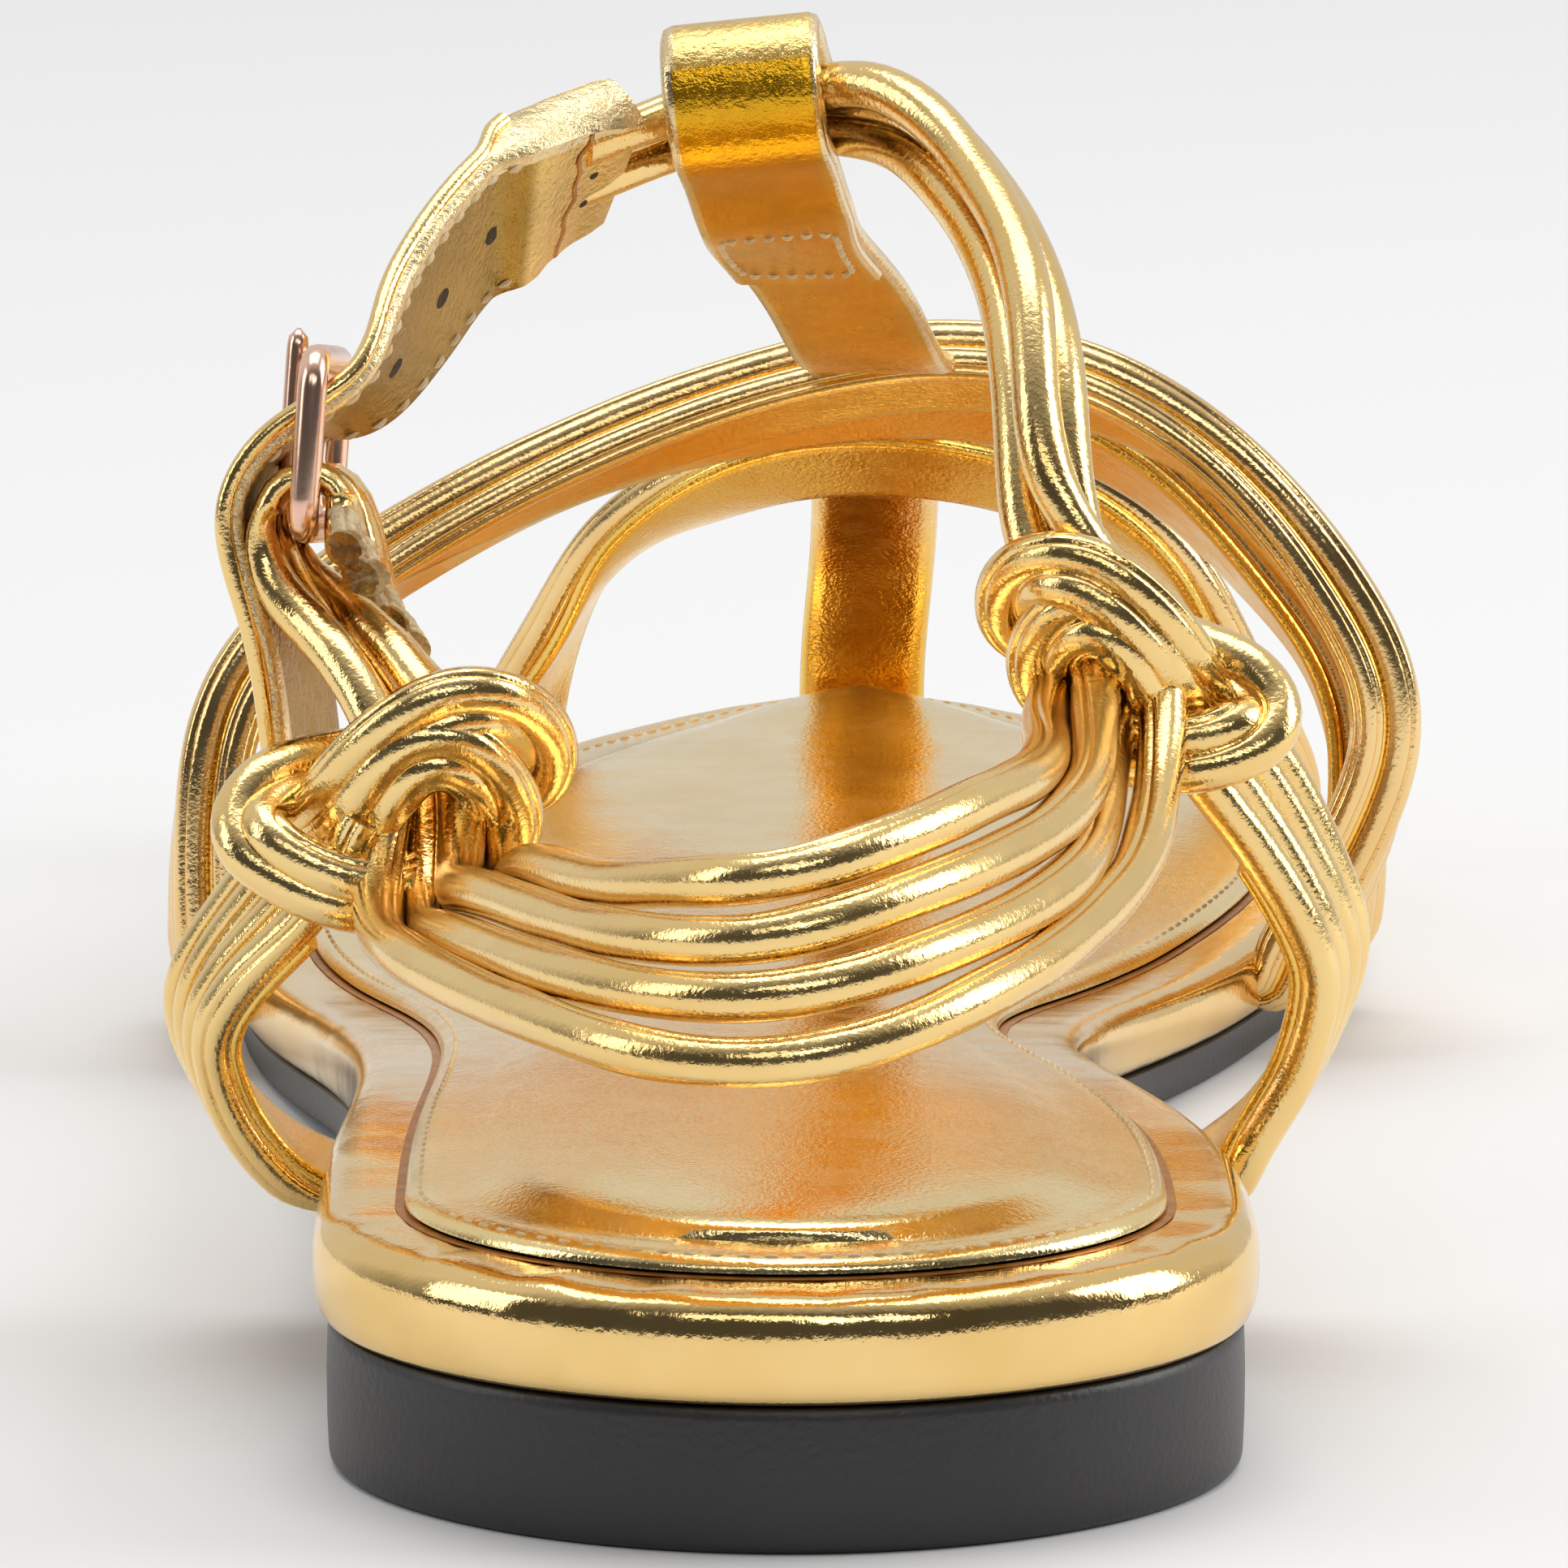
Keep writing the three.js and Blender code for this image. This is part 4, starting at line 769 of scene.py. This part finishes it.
def makeSideStrap(knot, seed):
    # four cords in two pairs on a lining, bowed out from the sole's seam and up into the knot's loop
    look = dict(pitch=0.93, split=0.4, lift=0.2, lining=1.1, liningLow=-1.3, liningReach=0.8, margin=0.6)
    cord = straps["sideCord"]
    foot, footAcross = strapFoot(knot["foot"], knot["side"], knot["side"])
    turn = knot["strapRows"][:, 3]
    across = np.stack([turn, knot["side"] * np.sqrt(1 - turn ** 2), np.zeros(len(turn))], 1)
    places = np.vstack([foot[:2], placedHigh(knot["strapRows"][:, :3])])
    route = carry(places, np.vstack([footAcross[:2], across]), 0.8)
    length = route["length"]
    show = 0.35 + 0.65 * np.clip((length - 4) / 6, 0, 1)
    rank = np.arange(4) - 1.5
    offsets = rank * cord * look["pitch"] + np.sign(rank) * look["split"]
    bodies = flatCords(route, offsets, cord * look["lift"], cord, show, seed)
    section = flatSection(4 * cord - look["margin"], look["lining"], look["liningLow"])
    body = ribbon(route, section, part=length < length[-1] * look["liningReach"])
    for piece in (putMesh(knot["name"] + "SideCords", bodies, goldCord),
                  putMesh(knot["name"] + "SideLining", [body], amberLining)):
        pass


bundleRows = np.array([  # x, along, rise, across, pitch, flat, split
    [-0.9, 0.25, 0.49, 0.15, 0.95, -0.2, 0.85, 0.7, 1.6],
    [-0.93, 0.268, 0.54, 0.1, 0.97, -0.2, 0.85, 0.6, 3.6],
    [-0.975, 0.274, 0.59, 0.06, 0.98, -0.17, 0.85, 0.6, 3.6],
    [-1.055, 0.274, 0.598, 0.06, 0.98, -0.17, 0.85, 0.6, 3.6],
    [-1.115, 0.273, 0.565, 0.06, 0.98, -0.17, 0.85, 0.6, 3.6],
    [-1.07, 0.266, 0.51, 0.2, 0.95, -0.1, 0.82, 0.8, 1.6],
    [-0.96, 0.25, 0.46, 0.6, 0.8, 0, 0.75, 1, 0],
    [-0.85, 0.232, 0.41, 0.85, 0.4, 0, 0.65, 1, 0],
    [-0.76, 0.217, 0.35, 1, 0.1, 0, 0.66, 1, 0],
    [-0.74, 0.206, 0.285, 1, 0, 0.1, 0.75, 1, 0],
    [-0.735, 0.183, 0.24, 0.95, 0, 0.35, 0.85, 1, 0],
    [-0.69, 0.137, 0.256, 0.78, -0.15, 0.57, 0.92, 1, 0],
    [-0.5, 0.073, 0.277, 0.68, 0, 0.72, 1.05, 1, 0],
    [-0.27, 0.024, 0.292, 0.4, 0.25, 0.86, 1.12, 1, 0],
    [-0.02, 0.007, 0.303, 0.1, 0.35, 0.93, 1.16, 1, 0],
    [0.23, 0.021, 0.322, -0.05, 0.42, 0.88, 1.16, 1, 0],
    [0.46, 0.062, 0.338, -0.2, 0.42, 0.86, 1.1, 1, 0],
    [0.62, 0.124, 0.354, -0.4, 0.3, 0.8, 0.98, 1, 0],
    [0.67, 0.183, 0.392, -0.75, 0.1, 0.55, 0.75, 1, 0],
    [0.67, 0.212, 0.455, -1, 0, 0.15, 0.62, 1, 0],
    [0.6, 0.222, 0.525, -0.9, 0.4, 0, 0.62, 1, 0],
    [0.55, 0.233, 0.61, -0.4, 0.87, -0.15, 0.68, 1, 0],
    [0.525, 0.262, 0.735, -0.25, 0.9, -0.3, 0.75, 1, 0],
    [0.42, 0.312, 0.85, -0.2, 0.85, -0.45, 0.8, 1, 0],
    [0.25, 0.347, 0.925, -0.1, 0.84, -0.54, 0.9, 1, 0],
    [0.08, 0.368, 0.938, 0, 0.86, -0.5, 0.92, 1, 0],
    [-0.085, 0.373, 0.938, 0, 0.86, -0.5, 0.92, 1, 0],
    [-0.29, 0.371, 0.915, 0.05, 0.84, -0.54, 0.86, 0.75, 0],
    [-0.5, 0.357, 0.877, 0.18, 0.83, -0.52, 0.82, 0.6, 0],
])
bundleRoute = carry(placedHigh(bundleRows[:, :3]), bundleRows[:, 3:6], 0.8,
                    dict(pitch=bundleRows[:, 6], flat=bundleRows[:, 7], split=bundleRows[:, 8]))


def makeHeelAndAnkleCords():
    # four cords side by side; where they crowd, every other one moves out of line
    cut = dict(reach=3.2, aside=0.1, lift=0.3, swell=1.06, grooves=(0.6, 1.6, 2.7, 4.4))
    cord, pitch, split = straps["cord"], bundleRoute["pitch"], bundleRoute["split"]
    stagger = 0.5 * cord * np.sqrt(np.clip(1 - pitch ** 2, 0, 1)) * (split < 0.5)
    stagger = np.convolve(np.pad(stagger, 6, mode="edge"), np.ones(13) / 13, mode="valid")
    bodies, ends = [], []
    for k in range(4):
        rank = k - 1.5
        offset = rank * pitch * cord + np.sign(rank) * split / 2
        lift = stagger * (1 if k % 2 else -1)
        flat = bundleRoute["flat"]
        bodies.append(cordAlong(bundleRoute, offset, lift, cord, 20 + k, flat=flat, sway=0.16))
        ragged = 1.05 + 0.2 * wobble(bundleRoute["length"] * 3, 30 + k, 2)
        ends.append(cordAlong(bundleRoute, offset + cut["aside"], cut["lift"] * ragged, cord * cut["swell"],
                              34 + k, flat=flat * ragged, grooves=cut["grooves"],
                              part=bundleRoute["length"] < cut["reach"]))
    cords = putMesh("heelAndAnkleCords", bodies, goldCord)
    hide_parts("knotted_cords")
    for piece in (cords, putMesh("cordCutEnds", ends, cutLeather)):
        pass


# T-strap with its loop round the ankle cords

def tStrapRoute():
    # round the cords at the third row from their end, then down the instep and under the rear band
    slack, pitch, cord, strap = 1.2, 0.92, straps["cord"], straps["tThick"]
    step = np.argmin(np.abs(bundleRoute["length"] - bundleRoute["rowLength"][-3]))
    place, tangent, across, out = (bundleRoute[name][step] for name in ("place", "tangent", "across", "out"))
    depth = cord / 2 + slack + strap / 2
    reach = 1.5 * pitch * cord + depth
    turns = [(reach, 0.3 * depth), (0.75 * reach, depth), (0, depth), (-0.75 * reach, depth), (-reach, 0),
             (-0.75 * reach, -depth), (0, -depth), (0.75 * reach, -depth), (1.2 * reach, -0.95 * depth)]
    places = [place + across * a + out * b for a, b in turns]
    down = placedLow([[-0.01, 0.437, 1.245], [0.07, 0.5, 1.14], [0.125, 0.555, 1.02],
                      [0.15, 0.604, 0.965], [0.15, 0.633, 0.935], [0.15, 0.655, 0.86]])
    across = np.vstack([np.tile(tangent, (len(turns), 1)), np.tile([-1, 0.03, 0], (len(down), 1))])
    return carry(np.vstack([places, down]), across, 0.7)


def alongRoute(route, lengths, offset, lift):
    # points beside a route at given lengths, with their directions across and out
    places, across, out = (pickRows(lengths, route["length"], route[name])
                           for name in ("place", "across", "out"))
    across, out = unit(across), unit(out)
    places = places + across * np.reshape(offset, (-1, 1)) + out * np.reshape(lift, (-1, 1))
    return places, across, out


def makeTStrap():
    # strap, the end folded back over the cords and sewn on with a box of stitches, which is an
    # ellipse with a power below one, close to a rectangle
    flap = dict(start=20, end=58.5, thin=1.1, margin=0.3, sink=0.2)
    box = dict(start=42, end=56, half=4.1, power=0.28, pitch=1.3, long=1.05, thick=0.5, lift=0.06)
    route = tStrapRoute()
    strap = putMesh("tStrap", [ribbon(route, flatSection(straps["tWidth"], straps["tThick"], across=12))],
                    tLeather)
    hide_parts("upper_straps")
    part = (route["length"] > flap["start"]) & (route["length"] < flap["end"])
    low = straps["tThick"] / 2 - flap["sink"]
    section = flatSection(straps["tWidth"] - flap["margin"], flap["thin"], low, across=12)
    layer = putMesh("tStrapFlap", [ribbon(route, section, part=part)], flapLeather)
    middle, half = (box["start"] + box["end"]) / 2, (box["end"] - box["start"]) / 2
    turn = np.linspace(0, 2 * math.pi, 241)
    power = lambda value: np.sign(value) * np.abs(value) ** box["power"]
    lengths, offset = middle + half * power(np.sin(turn)), box["half"] * power(np.cos(turn))
    lift = np.full(len(turn), low + flap["thin"] + box["lift"])
    places, across, out = alongRoute(route, lengths, offset, lift)
    along = unit(np.gradient(places, axis=0))
    bodies = stitchBodies(places, np.cross(out, along), out, box["pitch"], box["long"], box["thick"])
    for piece in (strap, layer, putMesh("tStrapStitches", bodies, creamThread)):
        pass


# Ankle strap and buckle

ankleRows = np.array([  # x, along, rise, then the direction across
    [-0.41, 0.366, 0.9, 0.1, 0.84, -0.53], [-0.53, 0.353, 0.875, 0.2, 0.84, -0.5],
    [-0.68, 0.328, 0.825, 0.28, 0.85, -0.44], [-0.82, 0.302, 0.744, 0.28, 0.89, -0.33],
    [-0.95, 0.281, 0.676, 0.18, 0.95, -0.22], [-1.1, 0.274, 0.635, 0.1, 0.98, -0.18],
    [-1.185, 0.272, 0.565, 0.1, 0.98, -0.15], [-1.11, 0.27, 0.46, 0.22, 0.96, -0.1],
    [-1.05, 0.27, 0.3, 0.25, 0.95, -0.1],
])


def makeAnkleStrap():
    # strap with a rolled outer edge and a folded end, twice as thick and a little uneven
    fold = dict(end=10, run=3.5, swell=1.6, seam=5.2, wave=0.25, wide=0.4, thick=0.14)
    route = carry(placedHigh(ankleRows[:, :3]), ankleRows[:, 3:], 0.6)
    length, width = route["length"], straps["ankleWidth"]
    folded = length < fold["end"]
    share = np.clip((fold["end"] + 3 - length) / fold["run"], 0, 1)
    thick = straps["ankleThick"] * (1 + fold["swell"] * smoothStep(share))
    thick = thick + (0.12 * wobble(length, 61, 3.1) + 0.1) * folded
    wide = 1 + 0.012 * wobble(length, 62, 6) + 0.02 * folded
    profile = flatSection(width, 1.0, across=12)[None] * np.stack([wide, thick], 1)[:, None]
    strap = putMesh("ankleStrap", [ribbon(route, profile)], ankleLeather)
    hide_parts("ankle_strap")
    edge = np.full(len(length), width / 2 - 0.25)
    rolls = [cordAlong(route, aside - edge, thick / 2 - sink, diameter, seed, sway=0.02,
                       part=length > fold["end"] - 1)
             for aside, sink, diameter, seed in ((0, 0.3, 1.3, 64), (1.5, 0.1, 1.1, 65))]
    # a thin dark strip of painted shade across the strap along the fold's crease
    across = np.linspace(-0.46, 0.46, 60) * width
    crease = fold["seam"] + fold["wave"] * wobble(across, 66, 4)
    places, _, out = alongRoute(route, crease, across, np.full(60, -1.0))
    places = places - out * (np.interp(fold["seam"], length, thick) / 2 - 1.0 + 0.02)
    line = dict(place=places, across=np.cross(out, unit(np.gradient(places, axis=0))), out=out,
                length=across - across[0])
    seam = ribbon(line, flatSection(fold["wide"], fold["thick"], across=4))
    for piece in (strap, putMesh("ankleStitches", ankleStitches(route, thick), creamThread),
                  putMesh("ankleHoles", ankleHoles(route, thick), holeShade),
                  putMesh("anklePiping", rolls, goldCord),
                  putMesh("ankleFoldShade", [seam], grooveShade)):
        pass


def ankleStitches(route, thick):
    # a row of stitches along each edge of the strap's inside
    row = dict(start=10.5, end=38, margin=1.25, pitch=2.1, long=1.6, thick=0.46, sink=0.05, count=120)
    lengths = np.linspace(row["start"], row["end"], row["count"])
    inside = -np.interp(lengths, route["length"], thick) / 2
    bodies = []
    for side in (-1, 1):
        offset = np.full(row["count"], side * (straps["ankleWidth"] / 2 - row["margin"]))
        places, across, out = alongRoute(route, lengths, offset, inside - row["sink"])
        bodies += stitchBodies(places, across, -out, row["pitch"], row["long"], row["thick"])
    return bodies


def ankleHoles(route, thick):
    # three holes and two pinholes as dark ovals just proud of the inside: length, radius, aside
    marks = ((13.2, 0.62, 0), (20, 0.62, 0), (26.8, 0.62, 0), (3.4, 0.3, 1.6), (3.2, 0.3, -1.2))
    angle = np.arange(14) * 2 * math.pi / 14
    bodies = []
    for at, radius, aside in marks:
        depth = -float(np.interp(at, route["length"], thick)) / 2
        places, across, out = alongRoute(route, np.array([at]), aside, depth)
        along = np.cross(out[0], across[0])
        rim = np.cos(angle)[:, None] * across[0] + 1.35 * np.sin(angle)[:, None] * along
        disc = [places[0] + radius * rim + out[0] * lift for lift in (0.25, -0.03)]
        bodies.append(closedTube(np.stack(disc)))
    return bodies


def makeBuckle():
    # frame: a round wire swept round a rectangle with quarter-circle corners; the pin is a straight
    # wire with round ends from the lower bar over the upper one
    wire = dict(diameter=2, height=11.4, opening=15.4, pin=1.5, corner=2, gap=0.3)
    bar = placedHigh([[-1.032, 0.274, 0.55]])[0]
    axis = unit(np.array([0.06, 0.98, -0.17]))
    up = np.array([0.07, 0.17, 0.98])
    up = unit(up - axis * np.dot(up, axis))
    out = -np.cross(axis, up)
    half, radius, high = (wire["opening"] + wire["diameter"]) / 2, wire["diameter"] / 2, wire["height"]
    angle = np.arange(12)[:, None] * 2 * math.pi / 12
    rings = []
    for k, (side, rise) in enumerate(((-half, 0), (half, 0), (half, high), (-half, high))):
        centre = bar + axis * (side - math.copysign(wire["corner"], side))
        centre = centre + up * (rise - wire["corner"] if rise else wire["corner"])
        for turn in (k - 2 + np.linspace(0, 1, 7)) * math.pi / 2:
            direction = axis * math.cos(turn) + up * math.sin(turn)
            rings.append(centre + direction * wire["corner"]
                         + radius * (np.cos(angle) * direction + np.sin(angle) * out))
    points = np.concatenate(rings + rings[:1])
    quads = facesOut(points, faceRows(len(rings) + 1, 12, True))
    loop = putMesh("buckleFrame", [(points, quads, planUv(points, quads))], roseGold)
    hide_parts("buckle_frame")
    share = np.linspace(0, 1, 24)[:, None]
    lift = radius + wire["gap"] + wire["pin"] / 2
    places = bar + up * (share * (high + wire["diameter"])) + out * lift
    thick = np.sqrt(np.clip(1 - (2 * share - 1) ** 16, 0.02, 1)) * wire["pin"] / 2
    circle = np.cos(angle) * axis + np.sin(angle) * out
    pin = putMesh("bucklePin", [closedTube(places[:, None] + thick[:, None] * circle)], roseGold)
    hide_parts("buckle_prong")


# Stage: floor, lights and camera

def makeStage():
    mesh = bpy.data.meshes.new("floor")
    reach = 8.0
    corners = [(-reach, -reach, 0), (reach, -reach, 0), (reach, reach, 0), (-reach, reach, 0)]
    mesh.from_pydata(corners, [], [(0, 1, 2, 3)])
    floor = bpy.data.objects.new("floor", mesh)
    bpy.context.collection.objects.link(floor)
    paint = newPaint("paleFloor")
    paint.feed(Base_Color=(0.86, 0.86, 0.86, 1), Roughness=0.7, Specular_IOR_Level=0.2)
    mesh.materials.append(paint.owner)


def addArea(name, place, target, size, power):
    light = bpy.data.lights.new(name, "AREA")
    light.shape = "RECTANGLE"
    light.size, light.size_y = size
    light.energy = power
    lamp = bpy.data.objects.new(name, light)
    lamp.location = place
    lamp.rotation_euler = (Vector(target) - Vector(place)).to_track_quat("-Z", "Y").to_euler()
    bpy.context.collection.objects.link(lamp)


def makeLights():
    world = bpy.data.worlds.new("softStudio")
    bpy.context.scene.world = world
    # dim behind the camera, bright above and beyond the shoe
    paint = Paint(world, "Background")
    tilt = paint.nodes.new("ShaderNodeVectorMath")
    tilt.operation = "DOT_PRODUCT"
    paint.links.new(paint.add("TexCoord").outputs["Generated"], tilt.inputs[0])
    tilt.inputs[1].default_value = (0.0, 0.78, 0.62)
    paint.feed(Color=paint.ramp(tilt.outputs["Value"], (0.07,) * 3, (0.69,) * 3, start=0.0, end=0.6))
    addArea("topSoftbox", (0.0, 0.3, 1.5), (0, 0.08, 0), (1.3, 0.9), 9)
    addArea("leftSoftbox", (-1.2, -0.2, 0.6), (0, 0.08, 0.03), (0.5, 0.9), 3)
    addArea("rightSoftbox", (1.25, 0.15, 0.65), (0, 0.08, 0.03), (0.7, 1.0), 8.8)
    addArea("frontSoftbox", (-0.2, -1.7, 1.5), (0, 0.0, 0.03), (1.6, 0.6), 4.4)
    addArea("streakSoftbox", (0.5, -1.4, 1.0), (0, 0.0, 0.03), (0.9, 0.3), 2.2)


def makeCamera():
    view = dict(place=(0.004285, -0.83996, 0.2115), yaw=-0.005315, pitch=0.1962, lens=304)
    camera = bpy.data.objects.new("camera", bpy.data.cameras.new("camera"))
    camera.data.sensor_width = 36
    camera.data.lens = view["lens"]
    camera.data.clip_start = 0.05
    camera.data.clip_end = 50
    camera.location = view["place"]
    camera.rotation_euler = Euler((math.pi / 2 - view["pitch"], 0, -view["yaw"]), "XYZ")
    bpy.context.collection.objects.link(camera)
    bpy.context.scene.camera = camera


makeStage()
makeLights()
makeCamera()
bpy.context.scene.view_settings.view_transform = "Standard"
print("stage ready")

makeSole()
makeFootbed()
makeSock()
makeSockSeams()
print("sole ready")

for k, band in enumerate(bands):
    cordedBand(bandRoute(band), band["name"], straps["bandWidth"], 200 + 10 * k)
cordedBand(centreRoute(), "centre", straps["centreWidth"], 240)
makeTStrap()
print("upper ready")

makeHeelAndAnkleCords()
for k, knot in enumerate(knots):
    makeKnot(knot, 300 + 20 * k)
    makeSideStrap(knot, 340 + 20 * k)
makeAnkleStrap()
makeBuckle()
print("straps ready")
